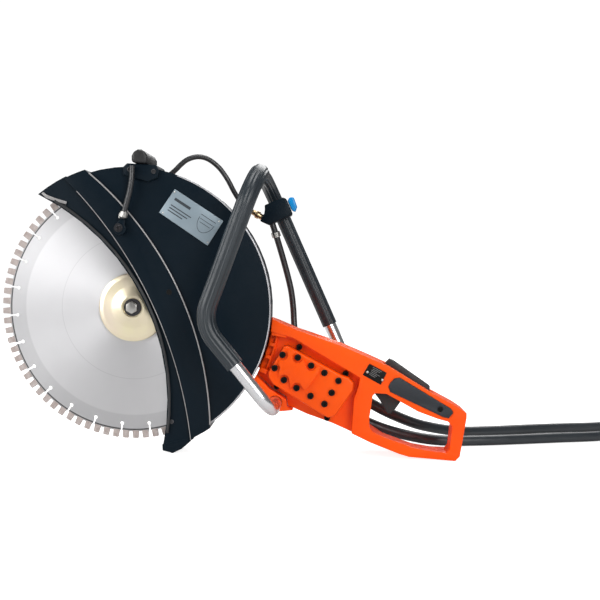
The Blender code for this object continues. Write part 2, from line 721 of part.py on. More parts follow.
FRONT_HANDLE = [
    (219.0, 8.0, -144.0), (219.0, -112.0, -144.0), (118.0, -112.0, -18.0), (199.0, -112.0, 200.0),
    (200.0, 108.0, 200.0), (331.0, 108.0, -98.0), (331.0, 49.0, -98.0),
]
FRONT_HANDLE_BENDS = [28.0, 55.0, 55.0, 55.0, 30.0]


def make_front_handle():
    path = bent_path(FRONT_HANDLE, FRONT_HANDLE_BENDS, 5)
    tube = wire("front_handle_tube", path, TUBE_RADIUS, 3)
    settle(tube, ALUMINIUM, saw)
    near_grip = sleeve("front_grip_near", stretch(path, 192.0, 530.0), TUBE_RADIUS + 0.7, 13.6)
    settle(near_grip, RUBBER, saw)
    far_grip = sleeve("front_grip_far", stretch(path, 531.0, 924.0), TUBE_RADIUS + 0.7, 11.9)
    settle(far_grip, RUBBER, saw)
    clamp = plate(
        "handle_clamp_near",
        [[(190.2, -102.6), (183.5, -114.2), (199.0, -133.0), (206.5, -150.0), (216.0, -156.5),
          (226.0, -157.5), (246.0, -155.6), (237.3, -151.4), (235.3, -139.0), (211.2, -123.4)],
         arc(10.6, 0, 360, 16, (219.0, -144.0))[:-1]],
        BODY_NEAR_Y, BODY_SPLIT_Y,
    )
    settle(clamp, ORANGE, saw)
    boss = ring(
        "handle_clamp_far", 10.6, 17.0, BODY_FAR_Y + PART_GAP, 68.0, 20, (331.0, 0.0, -98.0)
    )
    settle(boss, ORANGE, saw)


def on_tap(along, square):
    """A point in the X Z plane beside the tap's axis."""
    point = Vector(TAP_AXIS) + TAP_ALONG * along + TAP_SQUARE * square
    return (point.x, point.z)


def make_water_system():
    body = plate(
        "water_valve_body",
        [[(190.5, 134.9), on_tap(-20, -16), on_tap(20, -16), on_tap(22, -12), on_tap(22, 12),
          on_tap(18, 16), on_tap(-14, 16), on_tap(-16, 10), (197.5, 147.1)]],
        62.0, 89.5,
    )
    settle(body, BLUE_BLACK, saw)
    knob = plate(
        "water_tap_knob",
        [[on_tap(22.5, -8), on_tap(27, -13), on_tap(33, -6), on_tap(34, 10), on_tap(27, 12),
          on_tap(22.5, 8)]],
        66.0, 86.0,
    )
    settle(knob, BLUE, datum("tap_axis", TAP_AXIS, saw))

    nipple_start = Vector((194.0, 76.0, 141.0))
    nipple_way = Vector((-0.87, 0.0, 0.5)).normalized()
    nipple = turned(
        "water_valve_nipple",
        [(18.0, 0.0), (18.0, 4.6), (12.0, 4.6), (12.0, 6.4), (6.0, 6.4), (6.0, 4.8), (0.4, 4.8), (0.4, 0.0)],
        12, nipple_start, nipple_way, closed=False,
    )
    settle(nipple, BRASS, saw)
    supply_end = nipple_start + nipple_way * 18.5
    supply = [
        (30.0, 36.6, 200.0), (30.3, 47.0, 200.0), (36.0, 54.0, 202.0), (46.0, 56.0, 207.0),
        (56.0, 56.5, 215.0), (66.0, 57.0, 225.0), (77.0, 58.0, 233.0), (93.0, 60.0, 237.0),
        (109.0, 62.0, 233.0), (125.0, 65.0, 220.5), (138.0, 68.0, 202.5), (149.0, 71.0, 181.5),
        (160.0, 74.0, 164.5),
        supply_end + nipple_way * 8.0, supply_end,
    ]
    hose = wire("guard_supply_hose", smooth_path(supply, 9.0), WATER_HOSE_RADIUS, 2)
    settle(hose, RUBBER, saw)

    inlet = [
        (210.5, 76.0, 129.0), (214.0, 77.5, 118.0), (221.5, 82.0, 93.0), (228.5, 86.0, 68.0),
        (235.0, 89.0, 43.0), (240.0, 90.0, 20.0), (243.0, 90.0, -6.0), (244.0, 89.0, -24.0),
        (245.5, 84.5, -41.0), (249.5, 75.5, -56.0), (258.6, 69.8, -66.3), (269.7, 69.5, -72.1),
    ]
    inlet_hose = wire("water_inlet_hose", smooth_path(inlet, 12.0), INLET_HOSE_RADIUS, 2)
    settle(inlet_hose, RUBBER, saw)
    clamp = ring(
        "inlet_hose_clamp", 5.5, 7.3, 0.0, 8.0, 16, (216.5, 79.0, 110.0), (-0.28, -0.17, 0.94)
    )
    settle(clamp, STEEL, saw)
    connector_start = Vector((270.0, 69.5, -72.3))
    connector = turned(
        "water_inlet_connector",
        [(40.0, 0.0), (40.0, 6.5), (34.0, 8.0), (30.0, 6.5), (22.0, 6.5), (22.0, 10.5), (12.0, 10.5),
         (12.0, 7.5), (0.0, 7.5), (0.0, 0.0)],
        16, connector_start, LEAN, closed=False,
    )
    settle(connector, BRASS, saw)


# ---------------------------------------------------------------- hydraulic hoses

PRESSURE_ROUTE = [
    (344.2, 69.0, 84.5), (369.5, 69.0, 72.4), (402.0, 80.0, 55.0), (443.5, 105.0, 36.0),
    (476.0, 130.0, 25.0), (514.0, 157.0, 16.0), (542.0, 176.0, 12.0), (600.0, 211.0, 9.2),
    (662.5, 240.0, 8.8), (727.0, 264.0, 8.8), (792.7, 286.0, 8.8), (824.0, 296.5, 11.0),
    (850.0, 304.6, 15.4), (869.0, 310.7, 16.2), (888.0, 316.8, 16.2),
]
RETURN_ROUTE = [
    (331.3, 69.0, 57.4), (351.2, 69.0, 47.9), (374.0, 70.5, 37.5), (401.4, 74.0, 27.5),
    (436.0, 81.0, 18.4), (471.0, 89.0, 12.0), (505.0, 97.0, 9.2), (545.0, 107.0, 8.8),
    (585.5, 119.0, 8.8), (644.0, 140.0, 8.8), (704.0, 162.0, 8.8), (765.4, 184.0, 8.8),
    (797.0, 195.6, 11.0), (823.0, 204.4, 15.4), (842.0, 210.5, 16.2), (861.0, 216.6, 16.2),
]
COUPLER_WAY = Vector((0.952, 0.306, 0.0)).normalized()


def make_hydraulic_hoses():
    for title, route, port_side in (
        ("pressure", PRESSURE_ROUTE, 13.0), ("return", RETURN_ROUTE, -17.0),
    ):
        port = Vector((275.0, 69.0, -125.0)) + LEAN * 26.4 + SQUARE * port_side
        fitting = turned(
            f"{title}_hose_fitting",
            [(40.0, 0.0), (40.0, 11.5), (18.0, 11.5), (18.0, 9.0), (13.0, 9.0), (13.0, 12.6), (3.0, 12.6),
             (3.0, 9.0), (0.0, 9.0), (0.0, 0.0)],
            12, port, LEAN, closed=False,
        )
        settle(fitting, STEEL, saw)
        hose = wire(f"{title}_hose", smooth_path(route, 20.0), HYDRAULIC_HOSE_RADIUS, 2)
        settle(hose, RUBBER, ground)

    # The pressure whip ends in the male half of a flat-faced coupling, the return whip in the female
    male = turned(
        "pressure_coupler",
        [(74.0, 0.0), (74.0, 8.0), (60.0, 8.0), (60.0, 12.0), (44.0, 12.0), (44.0, 15.4), (28.0, 15.4),
         (28.0, 11.5), (0.0, 11.5), (0.0, 0.0)],
        16, Vector(PRESSURE_ROUTE[-1]) + COUPLER_WAY * 0.5, COUPLER_WAY, closed=False,
    )
    settle(male, STEEL, ground)
    female_start = Vector(RETURN_ROUTE[-1]) + COUPLER_WAY * 0.5
    female = turned(
        "return_coupler",
        [(74.0, 0.0), (74.0, 12.0), (44.0, 12.0), (44.0, 15.4), (28.0, 15.4), (28.0, 11.5), (0.0, 11.5),
         (0.0, 0.0)],
        16, female_start, COUPLER_WAY, closed=False,
    )
    settle(female, STEEL, ground)
    locking = turned(
        "coupler_sleeve",
        [(72.0, 12.6), (72.0, 16.0), (56.5, 16.0), (56.5, 12.6)],
        20, female_start, COUPLER_WAY,
    )
    settle(locking, DARK_STEEL, ground)


clear_scene()
parts = new_collection("hydraulic_rescue_cutter")
helpers = new_collection("cutters")
helpers.hide_render = True

ORANGE = paint("orange_paint", (0.95, 0.10, 0.01), 0.35, 0.0)
BLUE_BLACK = paint("blue_black_paint", (0.018, 0.024, 0.032), 0.4, 0.0)
BLACK_PLASTIC = paint("black_plastic", (0.015, 0.015, 0.016), 0.5, 0.0)
RUBBER = paint("black_rubber", (0.02, 0.021, 0.023), 0.6, 0.0)
STEEL = paint("steel", (0.62, 0.62, 0.62), 0.3, 1.0)
DARK_STEEL = paint("dark_steel", (0.08, 0.08, 0.085), 0.4, 1.0)
ZINC = paint("yellow_zinc", (0.75, 0.66, 0.42), 0.35, 1.0)
CASTING = paint("aluminium_casting", (0.6, 0.6, 0.6), 0.5, 1.0)
ALUMINIUM = paint("aluminium_tube", (0.8, 0.8, 0.8), 0.3, 1.0)
BRASS = paint("brass", (0.7, 0.5, 0.25), 0.3, 1.0)
PALE_METAL = paint("pale_plate", (0.4, 0.47, 0.52), 0.4, 0.6)
BLUE = paint("blue_plastic", (0.01, 0.2, 0.6), 0.35, 0.0)

saw = datum("saw_frame", SPINDLE_PLACE, pitch=-PITCH_DEG)
ground = datum("ground_frame", (SPINDLE_PLACE[0], SPINDLE_PLACE[1], 0.0))
guard = datum("guard_axis", (0.0, 0.0, 0.0), saw)

make_cutting_group()
make_arm_and_motor()
make_guard()
make_body()
make_valve_and_controls()
make_front_handle()
make_water_system()
make_hydraulic_hoses()
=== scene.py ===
import math

import bmesh
import bpy
from mathutils import Matrix, Vector


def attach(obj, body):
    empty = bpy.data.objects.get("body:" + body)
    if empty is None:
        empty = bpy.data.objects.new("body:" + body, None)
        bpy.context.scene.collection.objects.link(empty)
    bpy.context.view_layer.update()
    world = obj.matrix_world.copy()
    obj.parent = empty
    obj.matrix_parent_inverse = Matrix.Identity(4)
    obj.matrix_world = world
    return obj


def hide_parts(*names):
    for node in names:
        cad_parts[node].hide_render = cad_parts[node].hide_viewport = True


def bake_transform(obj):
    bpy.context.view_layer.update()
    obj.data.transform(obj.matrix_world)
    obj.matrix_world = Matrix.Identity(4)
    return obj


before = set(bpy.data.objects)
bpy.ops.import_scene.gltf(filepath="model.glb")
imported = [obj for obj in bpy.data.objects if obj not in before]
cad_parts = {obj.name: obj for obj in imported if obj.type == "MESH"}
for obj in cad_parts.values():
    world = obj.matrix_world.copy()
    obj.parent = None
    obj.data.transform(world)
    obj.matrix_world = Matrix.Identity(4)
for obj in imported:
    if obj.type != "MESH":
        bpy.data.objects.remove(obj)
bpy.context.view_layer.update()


# ---- Studio: a pale floor, soft lights and the camera.
# The saw stands a little nose down, so its own frame is turned about Y. Shapes are laid out in that
# frame, in millimetres from the spindle's axis, and SAW carries them into place.

PITCH = Matrix.Rotation(math.radians(-1.443), 4, "Y")
SPINDLE = Vector((-0.15505, 0.0029, 0.21954))
SAW = Matrix.Translation(SPINDLE) @ PITCH @ Matrix.Scale(0.001, 4)

eye = Vector((295.55, -1498.38, 68.71))
aim = Vector((256.31, 0.0, 11.13))
camera = bpy.data.objects.new("camera", bpy.data.cameras.new("camera"))
camera.data.lens = 58.59
camera.data.sensor_width = 36.0
camera.matrix_world = (
    Matrix.Translation(SAW @ eye) @ PITCH @ (aim - eye).to_track_quat("-Z", "Y").to_matrix().to_4x4()
)
bpy.context.scene.collection.objects.link(camera)
bpy.context.scene.camera = camera
bpy.context.scene.view_settings.view_transform = "Standard"

floor_shape = bmesh.new()
bmesh.ops.create_grid(floor_shape, x_segments=1, y_segments=1, size=2.6)
floor_mesh = bpy.data.meshes.new("floor")
floor_shape.to_mesh(floor_mesh)
floor_shape.free()
floor = bpy.data.objects.new("floor", floor_mesh)
floor.location = (0.0, 0.0, -0.0004)
floor_paint = bpy.data.materials.new("floor")
floor_paint.use_nodes = True
nodes, links = floor_paint.node_tree.nodes, floor_paint.node_tree.links
floor_shader = nodes["Principled BSDF"]
floor_shader.inputs["Base Color"].default_value = (0.6, 0.6, 0.6, 1)
floor_shader.inputs["Roughness"].default_value = 0.9
floor_shader.inputs["Specular IOR Level"].default_value = 0.0
floor_shader.inputs["Emission Color"].default_value = (1.0, 1.0, 1.0, 1)
# The floor glows to look at, and throws little light upwards
looked_at = nodes.new("ShaderNodeLightPath")
glow = nodes.new("ShaderNodeMapRange")
glow.inputs["To Min"].default_value = 0.1
glow.inputs["To Max"].default_value = 0.84
links.new(looked_at.outputs["Is Camera Ray"], glow.inputs["Value"])
links.new(glow.outputs["Result"], floor_shader.inputs["Emission Strength"])
floor.data.materials.append(floor_paint)
bpy.context.scene.collection.objects.link(floor)

LIT_POINT = Vector((0.05, 0.0, 0.2))
for title, place, size, power in (
    ("front left softbox", (-2.6, -2.3, 1.0), 1.6, 44.0),
    ("front right softbox", (1.5, -2.8, 1.3), 1.5, 50.0),
    ("left softbox", (-2.6, -0.6, 1.6), 1.2, 18.0),
    ("back softbox", (0.7, 2.2, 2.2), 2.0, 50.0),
    ("top softbox", (0.0, -0.3, 3.0), 1.6, 44.0),
):
    lamp = bpy.data.lights.new(title, "AREA")
    lamp.shape = "SQUARE"
    lamp.size = size
    lamp.energy = power
    light = bpy.data.objects.new(title, lamp)
    light.location = place
    light.rotation_euler = (LIT_POINT - Vector(place)).to_track_quat("-Z", "Y").to_euler()
    bpy.context.scene.collection.objects.link(light)

# The room is bright white to look at, and dimmer as a light
room = bpy.data.worlds.new("room")
room.use_nodes = True
bpy.context.scene.world = room
nodes, links = room.node_tree.nodes, room.node_tree.links
nodes["Background"].inputs["Color"].default_value = (1.0, 1.0, 1.0, 1.0)
seen = nodes.new("ShaderNodeLightPath")
level = nodes.new("ShaderNodeMapRange")
level.inputs["To Min"].default_value = 0.16
level.inputs["To Max"].default_value = 1.06
links.new(seen.outputs["Is Camera Ray"], level.inputs["Value"])
links.new(level.outputs["Result"], nodes["Background"].inputs["Strength"])


# ---- Hydraulic hoses: two stiff rubber whips with a woven cover under a smooth skin.
# They leave the port block behind the body, come down to the ground and end in their couplings.

def uneven_surface():
    """Node group: a soft drift between two colours, uneven gloss, and a fine grain as a height."""
    group = bpy.data.node_groups.get("uneven surface")
    if group:
        return group
    group = bpy.data.node_groups.new("uneven surface", "ShaderNodeTree")
    for title, kind in (
        ("Vector", "NodeSocketVector"), ("Colour", "NodeSocketColor"), ("Shade", "NodeSocketColor"),
        ("Drift", "NodeSocketFloat"), ("Gloss Low", "NodeSocketFloat"), ("Gloss High", "NodeSocketFloat"),
        ("Grain", "NodeSocketFloat"),
    ):
        group.interface.new_socket(title, in_out="INPUT", socket_type=kind)
    for title, kind in (
        ("Colour", "NodeSocketColor"), ("Roughness", "NodeSocketFloat"), ("Height", "NodeSocketFloat"),
    ):
        group.interface.new_socket(title, in_out="OUTPUT", socket_type=kind)
    nodes, links = group.nodes, group.links
    taken = nodes.new("NodeGroupInput")
    given = nodes.new("NodeGroupOutput")
    drift = nodes.new("ShaderNodeTexNoise")
    drift.inputs["Detail"].default_value = 4.0
    links.new(taken.outputs["Vector"], drift.inputs["Vector"])
    links.new(taken.outputs["Drift"], drift.inputs["Scale"])
    band = nodes.new("ShaderNodeMapRange")
    band.inputs["From Min"].default_value = 0.35
    band.inputs["From Max"].default_value = 0.68
    links.new(drift.outputs["Fac"], band.inputs["Value"])
    mix = nodes.new("ShaderNodeMix")
    mix.data_type = "RGBA"
    links.new(band.outputs["Result"], mix.inputs["Factor"])
    links.new(taken.outputs["Colour"], mix.inputs["A"])
    links.new(taken.outputs["Shade"], mix.inputs["B"])
    links.new(mix.outputs["Result"], given.inputs["Colour"])
    smear = nodes.new("ShaderNodeTexNoise")
    smear.inputs["Scale"].default_value = 60.0
    smear.inputs["Detail"].default_value = 6.0
    links.new(taken.outputs["Vector"], smear.inputs["Vector"])
    gloss = nodes.new("ShaderNodeMapRange")
    gloss.inputs["From Min"].default_value = 0.3
    gloss.inputs["From Max"].default_value = 0.7
    links.new(smear.outputs["Fac"], gloss.inputs["Value"])
    links.new(taken.outputs["Gloss Low"], gloss.inputs["To Min"])
    links.new(taken.outputs["Gloss High"], gloss.inputs["To Max"])
    links.new(gloss.outputs["Result"], given.inputs["Roughness"])
    grain = nodes.new("ShaderNodeTexNoise")
    grain.inputs["Detail"].default_value = 3.0
    links.new(taken.outputs["Vector"], grain.inputs["Vector"])
    links.new(taken.outputs["Grain"], grain.inputs["Scale"])
    links.new(grain.outputs["Fac"], given.inputs["Height"])
    return group


def finish_of(name, colour, shade, gloss, grain, depth, drift=14.0, metallic=0.0, **sockets):
    """A material on the uneven surface: two colours, a gloss range, and a grain of a scale and depth."""
    made = bpy.data.materials.new(name)
    made.use_nodes = True
    nodes, links = made.node_tree.nodes, made.node_tree.links
    shader = nodes["Principled BSDF"]
    shader.inputs["Metallic"].default_value = metallic
    for title, value in sockets.items():
        shader.inputs[title.replace("_", " ")].default_value = value
    place = nodes.new("ShaderNodeTexCoord")
    surface = nodes.new("ShaderNodeGroup")
    surface.name = "surface"
    surface.node_tree = uneven_surface()
    surface.inputs["Colour"].default_value = (*colour, 1.0)
    surface.inputs["Shade"].default_value = (*shade, 1.0)
    surface.inputs["Drift"].default_value = drift
    surface.inputs["Gloss Low"].default_value = gloss[0]
    surface.inputs["Gloss High"].default_value = gloss[1]
    surface.inputs["Grain"].default_value = grain
    bump = nodes.new("ShaderNodeBump")
    bump.name = "bump"
    bump.inputs["Strength"].default_value = 0.6
    bump.inputs["Distance"].default_value = depth
    links.new(place.outputs["Object"], surface.inputs["Vector"])
    links.new(surface.outputs["Colour"], shader.inputs["Base Color"])
    links.new(surface.outputs["Roughness"], shader.inputs["Roughness"])
    links.new(surface.outputs["Height"], bump.inputs["Height"])
    links.new(bump.outputs["Normal"], shader.inputs["Normal"])
    return made


def smooth_path(route, spacing, smooth=12):
    """Evenly spaced points on a smooth curve through a route's own points."""
    knots = [Vector(point) for point in route]
    knots = [knots[0] * 2 - knots[1], *knots, knots[-1] * 2 - knots[-2]]
    fine = []
    for a, b, c, d in zip(knots, knots[1:], knots[2:], knots[3:]):
        for step in range(smooth):
            t = step / smooth
            fine.append(
                0.5 * (2 * b + (c - a) * t + (2 * a - 5 * b + 4 * c - d) * t**2
                       + (3 * b - 3 * c + d - a) * t**3)
            )
    fine.append(knots[-2])
    length = sum((q - p).length for p, q in zip(fine, fine[1:]))
    count = max(2, round(length / spacing))
    return [along_path(fine, length * i / count) for i in range(count + 1)]


def along_path(points, distance):
    """The point at a distance from the start of a path."""
    for p, q in zip(points, points[1:]):
        span = (q - p).length
        if distance <= span:
            return p + (q - p) * (distance / span if span else 0.0)
        distance -= span
    return points[-1]


def tube(name, points, radius, material, body, slot, *replaced, resolution=5):
    """A hose or tube along points in metres, as a curve of one open spline."""
    path = bpy.data.curves.new(name, "CURVE")
    path.dimensions = "3D"
    path.bevel_depth = radius
    path.bevel_resolution = resolution
    path.use_fill_caps = True
    spline = path.splines.new("POLY")
    spline.points.add(len(points) - 1)
    for point, place in zip(spline.points, points):
        point.co = (*place, 1.0)
    spline.use_smooth = True
    piece = bpy.data.objects.new(name, path)
    path.materials.append(material)
    bpy.context.scene.collection.objects.link(piece)
    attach(piece, body)
    if replaced:
        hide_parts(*replaced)
    return piece


HOSE_RUBBER = finish_of(
    "hose rubber", (0.016, 0.021, 0.026), (0.026, 0.031, 0.037), (0.3, 0.44), 900.0, 0.0003,
    Specular_IOR_Level=0.6,
)
# ---- Hose ends: plated hydraulic fittings at the port block, and flat-faced couplings on the whips.
# All are turned from steel and zinc plated; the locking sleeve is blackened.

PLATED_STEEL = finish_of(
    "plated steel", (0.60, 0.59, 0.56), (0.44, 0.43, 0.41), (0.22, 0.38), 700.0, 0.0002, 40.0, 1.0,
)
BLACKENED_STEEL = finish_of(
    "blackened steel", (0.045, 0.045, 0.05), (0.09, 0.09, 0.095), (0.3, 0.45), 600.0, 0.0002, 50.0, 0.8,
)


def settle(name, shape, material, body, slot, *replaced):
    """Puts a finished shape into the object, smooth up to 35 degrees, riding on its body."""
    data = bpy.data.meshes.new(name)
    shape.to_mesh(data)
    shape.free()
    data.shade_smooth()
    data.set_sharp_from_angle(angle=math.radians(35))
    data.materials.append(material)
    piece = bpy.data.objects.new(name, data)
    bpy.context.scene.collection.objects.link(piece)
    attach(piece, body)
    if replaced:
        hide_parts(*replaced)
    return piece


def sharp_edges(shape, degrees=40.0):
    """The edges where two faces meet at more than an angle."""
    limit = math.radians(degrees)
    return [edge for edge in shape.edges if edge.is_manifold and edge.calc_face_angle(0.0) > limit]


def soften(shape, edges, width, segments=3):
    """Rounds these edges."""
    bmesh.ops.bevel(
        shape, geom=edges, offset=width, offset_type="OFFSET", segments=segments, profile=0.5,
        affect="EDGES", clamp_overlap=True, material=-1,
    )


def merged_copy(node):
    """A CAD piece's own shape with its triangles welded and its flat faces whole again."""
    shape = bmesh.new()
    shape.from_mesh(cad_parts[node].data)
    bmesh.ops.remove_doubles(shape, verts=shape.verts, dist=0.000003)
    bmesh.ops.dissolve_limit(
        shape, angle_limit=math.radians(0.6), use_dissolve_boundaries=False, verts=shape.verts,
        edges=shape.edges,
    )
    return shape


def softened(node, width, material, slot, body="chassis", segments=3, degrees=40.0):
    """Stands for a CAD piece with the same shape and rounded edges."""
    shape = merged_copy(node)
    soften(shape, sharp_edges(shape, degrees), width, segments)
    return settle(f"{node}_finished", shape, material, body, slot, node)


hose_ends = {
    node: softened(node, 0.0006, PLATED_STEEL, "steel", segments=2)
    for node in ("pressure_hose_fitting", "return_hose_fitting", "pressure_coupler", "return_coupler")
}
hose_ends["coupler_sleeve"] = softened(
    "coupler_sleeve", 0.0006, BLACKENED_STEEL, "dark_steel", "coupler_sleeve", 2,
)

WHIP_RADIUS = 0.0085
pressure_route = [
    (0.1892, 0.0719, 0.0845), (0.2145, 0.0719, 0.0724), (0.247, 0.0829, 0.055),
    (0.2884, 0.1079, 0.036), (0.3209, 0.1329, 0.025), (0.3589, 0.1599, 0.016),
    (0.387, 0.1789, 0.012), (0.4449, 0.2139, 0.0092), (0.5074, 0.2429, 0.0088),
    (0.5719, 0.2669, 0.0088), (0.6377, 0.2889, 0.0088), (0.6689, 0.2994, 0.011),
    (0.6949, 0.3075, 0.0154), (0.7139, 0.3136, 0.0162), (0.7329, 0.3197, 0.0162),
]
return_route = [
    (0.1763, 0.0719, 0.0574), (0.1962, 0.0719, 0.0479), (0.219, 0.0734, 0.0375),
    (0.2463, 0.0769, 0.0275), (0.281, 0.0839, 0.0184), (0.3159, 0.0919, 0.012),
    (0.3499, 0.0999, 0.0092), (0.39, 0.1099, 0.0088), (0.4304, 0.1219, 0.0088),
    (0.4889, 0.1429, 0.0088), (0.5489, 0.1649, 0.0088), (0.6103, 0.1869, 0.0088),
    (0.642, 0.1985, 0.011), (0.6679, 0.2073, 0.0154), (0.6869, 0.2134, 0.0162),
    (0.7059, 0.2195, 0.0162),
]
for title, route, length, pieces in (
    ("pressure_hose", pressure_route, 0.619, [hose_ends["pressure_coupler"]]),
    ("return_hose", return_route, 0.562, [hose_ends["return_coupler"], hose_ends["coupler_sleeve"]]),
):
    hose = tube(
        f"{title}_skin", smooth_path(route, 0.008), WHIP_RADIUS, HOSE_RUBBER, "chassis", "black_rubber",
        title,
    )


# ---- Cutting arm: a machined and painted aluminium arm that carries the spindle and the gear motor.
# The paint is a gloss orange powder coat.

ORANGE = finish_of(
    "orange powder coat", (1.0, 0.1, 0.0), (0.98, 0.08, 0.0), (0.3, 0.42), 1100.0, 0.00022, 9.0,
    Specular_IOR_Level=0.2, Coat_Weight=0.05, Coat_Roughness=0.12,
)
softened("cutting_arm", 0.0018, ORANGE, "orange")

CASTING = finish_of(
    "cast aluminium", (0.42, 0.42, 0.43), (0.33, 0.33, 0.34), (0.42, 0.6), 520.0, 0.0006, 22.0, 1.0,
)
softened("motor_housing", 0.0015, CASTING, "aluminium_casting")
softened("motor_end_cover", 0.0025, CASTING, "aluminium_casting")


# ---- Cap screws: black socket heads, each with a rounded rim and a sunk round socket.
# One piece holds all the screws of one cover; these eight hold the gear motor's end cover.

def turned_into(shape, profile, start, along, steps=24):
    """Adds a turned form to a shape: profile points are (distance along the axis, radius)."""
    turn = Vector(along).to_track_quat("Z", "Y").to_matrix()
    before = set(shape.verts)
    line = [shape.verts.new((radius, 0.0, height)) for height, radius in profile]
    edges = [shape.edges.new(pair) for pair in zip(line, line[1:])]
    bmesh.ops.spin(
        shape, geom=line + edges, cent=(0, 0, 0), axis=(0, 0, 1), dvec=(0, 0, 0),
        angle=2 * math.pi, steps=steps, use_merge=True, use_duplicate=False,
    )
    new = [vert for vert in shape.verts if vert not in before]
    bmesh.ops.remove_doubles(shape, verts=new, dist=0.00001)
    new = [vert for vert in shape.verts if vert not in before]
    bmesh.ops.rotate(shape, cent=(0, 0, 0), matrix=turn, verts=new)
    bmesh.ops.translate(shape, vec=Vector(start), verts=new)


def in_place(shape):
    """Carries a shape from the saw's frame in millimetres to its place, faces outwards."""
    bmesh.ops.recalc_face_normals(shape, faces=shape.faces)
    bmesh.ops.transform(shape, matrix=SAW, verts=shape.verts)
    return shape


def cap_screws(name, places, y_face, radius, height, side, material, body, slot):
    """Socket heads on a face that looks along side, -1 for the near side and 1 for the far one."""
    shape = bmesh.new()
    profile = [
        (height * 0.35, 0.0), (height * 0.35, radius * 0.42), (height * 0.5, radius * 0.5),
        (height, radius * 0.56), (height, radius * 0.86), (height * 0.82, radius), (-0.4, radius),
    ]
    for x, z in places:
        turned_into(shape, profile, (x, y_face, z), (0.0, side, 0.0), 18)
    settle(name, in_place(shape), material, body, slot)


MOTOR_COVER_FACE = 96.0
cap_screws(
    "motor_cover_screws",
    [(0, 34), (0, -34), (-33, 10), (-33, -10), (48, 34), (48, -34), (81, 10), (81, -10)],
    MOTOR_COVER_FACE, radius=4.0, height=3.0, side=1.0, material=BLACKENED_STEEL, body="chassis",
    slot="dark_steel",
)


# ---- Spindle, gears and bearings: hardened and ground steel, mostly out of sight behind the blade.
# The spindle runs in the arm's bearing, and a rubber lip seal keeps the slurry out of it.

SHAFT_STEEL = finish_of(
    "ground steel", (0.62, 0.62, 0.63), (0.5, 0.5, 0.52), (0.2, 0.3), 800.0, 0.0001, 60.0, 1.0,
)
DARK_RUBBER = finish_of(
    "dark rubber", (0.014, 0.015, 0.017), (0.02, 0.022, 0.025), (0.5, 0.66), 700.0, 0.0004,
)


def repaint(material, *nodes):
    """Gives CAD pieces that keep their own shape their finish."""
    for node in nodes:
        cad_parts[node].data.materials.clear()
        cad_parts[node].data.materials.append(material)


repaint(SHAFT_STEEL, "spindle", "spindle_bearing", "guard_bearing_ring", "idler_shaft")
repaint(BLACKENED_STEEL, "drive_gear", "idler_gear")
repaint(DARK_RUBBER, "spindle_seal")


# ---- Blade: a 16 inch steel core, ground in circles, with laser-welded diamond segments.
# Keyhole slots part the segments in threes, and a dark heat line runs just inside them.

BLADE_STEEL = finish_of(
    "blade steel", (0.84, 0.835, 0.85), (0.80, 0.795, 0.81), (0.4, 0.43), 90.0, 0.0, 10.0, 1.0,
    Anisotropic=0.7,
)
nodes, links = BLADE_STEEL.node_tree.nodes, BLADE_STEEL.node_tree.links
shader = nodes["Principled BSDF"]
surface = nodes["surface"]
place = next(node for node in nodes if node.type == "TEX_COORD")
from_hub = nodes.new("ShaderNodeMapping")
from_hub.inputs["Location"].default_value = (-SPINDLE.x, 0.0, -SPINDLE.z)
flat = nodes.new("ShaderNodeVectorMath")
flat.operation = "MULTIPLY"
flat.inputs[1].default_value = (1.0, 0.0, 1.0)
radius = nodes.new("ShaderNodeVectorMath")
radius.operation = "LENGTH"
links.new(place.outputs["Object"], from_hub.inputs["Vector"])
links.new(from_hub.outputs["Vector"], flat.inputs[0])
links.new(flat.outputs["Vector"], radius.inputs[0])
# The grinding marks run round the hub and draw reflections out along the radius
tangent = nodes.new("ShaderNodeVectorMath")
tangent.operation = "NORMALIZE"
links.new(flat.outputs["Vector"], tangent.inputs[0])
links.new(tangent.outputs["Vector"], shader.inputs["Tangent"])
# Grinding marks: fine rings, which a long noise along the radius makes
rings = nodes.new("ShaderNodeCombineXYZ")
links.new(radius.outputs["Value"], rings.inputs["X"])
marks = nodes.new("ShaderNodeTexNoise")
marks.inputs["Scale"].default_value = 2600.0
marks.inputs["Detail"].default_value = 2.0
links.new(rings.outputs["Vector"], marks.inputs["Vector"])
links.new(marks.outputs["Fac"], nodes["bump"].inputs["Height"])
nodes["bump"].inputs["Strength"].default_value = 0.12
nodes["bump"].inputs["Distance"].default_value = 0.00012
# Bands by radius: ground middle, duller ring under the segments, dark weld line
bands = nodes.new("ShaderNodeValToRGB")
bands.color_ramp.interpolation = "LINEAR"
stops = [
    (0.0, 1.0), (0.5520, 1.0), (0.5530, 0.86), (0.5570, 0.86), (0.5580, 1.0), (0.8300, 1.0),
    (0.8400, 0.88), (0.9440, 0.86), (0.9455, 0.04), (0.9520, 0.04), (0.9540, 0.8), (1.0, 0.8),
]
bands.color_ramp.elements[0].position = stops[0][0]
bands.color_ramp.elements[1].position = stops[-1][0]
bands.color_ramp.elements[1].color = (stops[-1][1],) * 3 + (1.0,)
bands.color_ramp.elements[0].color = (1.0, 1.0, 1.0, 1.0)
for where, value in stops[1:-1]:
    stop = bands.color_ramp.elements.new(where)
    stop.color = (value, value, value, 1.0)
to_unit = nodes.new("ShaderNodeMath")
to_unit.operation = "DIVIDE"
to_unit.inputs[1].default_value = 0.2
links.new(radius.outputs["Value"], to_unit.inputs[0])
links.new(to_unit.outputs["Value"], bands.inputs["Fac"])
tint = nodes.new("ShaderNodeMix")
tint.data_type = "RGBA"
tint.blend_type = "MULTIPLY"
tint.inputs["Factor"].default_value = 1.0
links.new(surface.outputs["Colour"], tint.inputs["A"])
links.new(bands.outputs["Color"], tint.inputs["B"])
links.new(tint.outputs["Result"], shader.inputs["Base Color"])


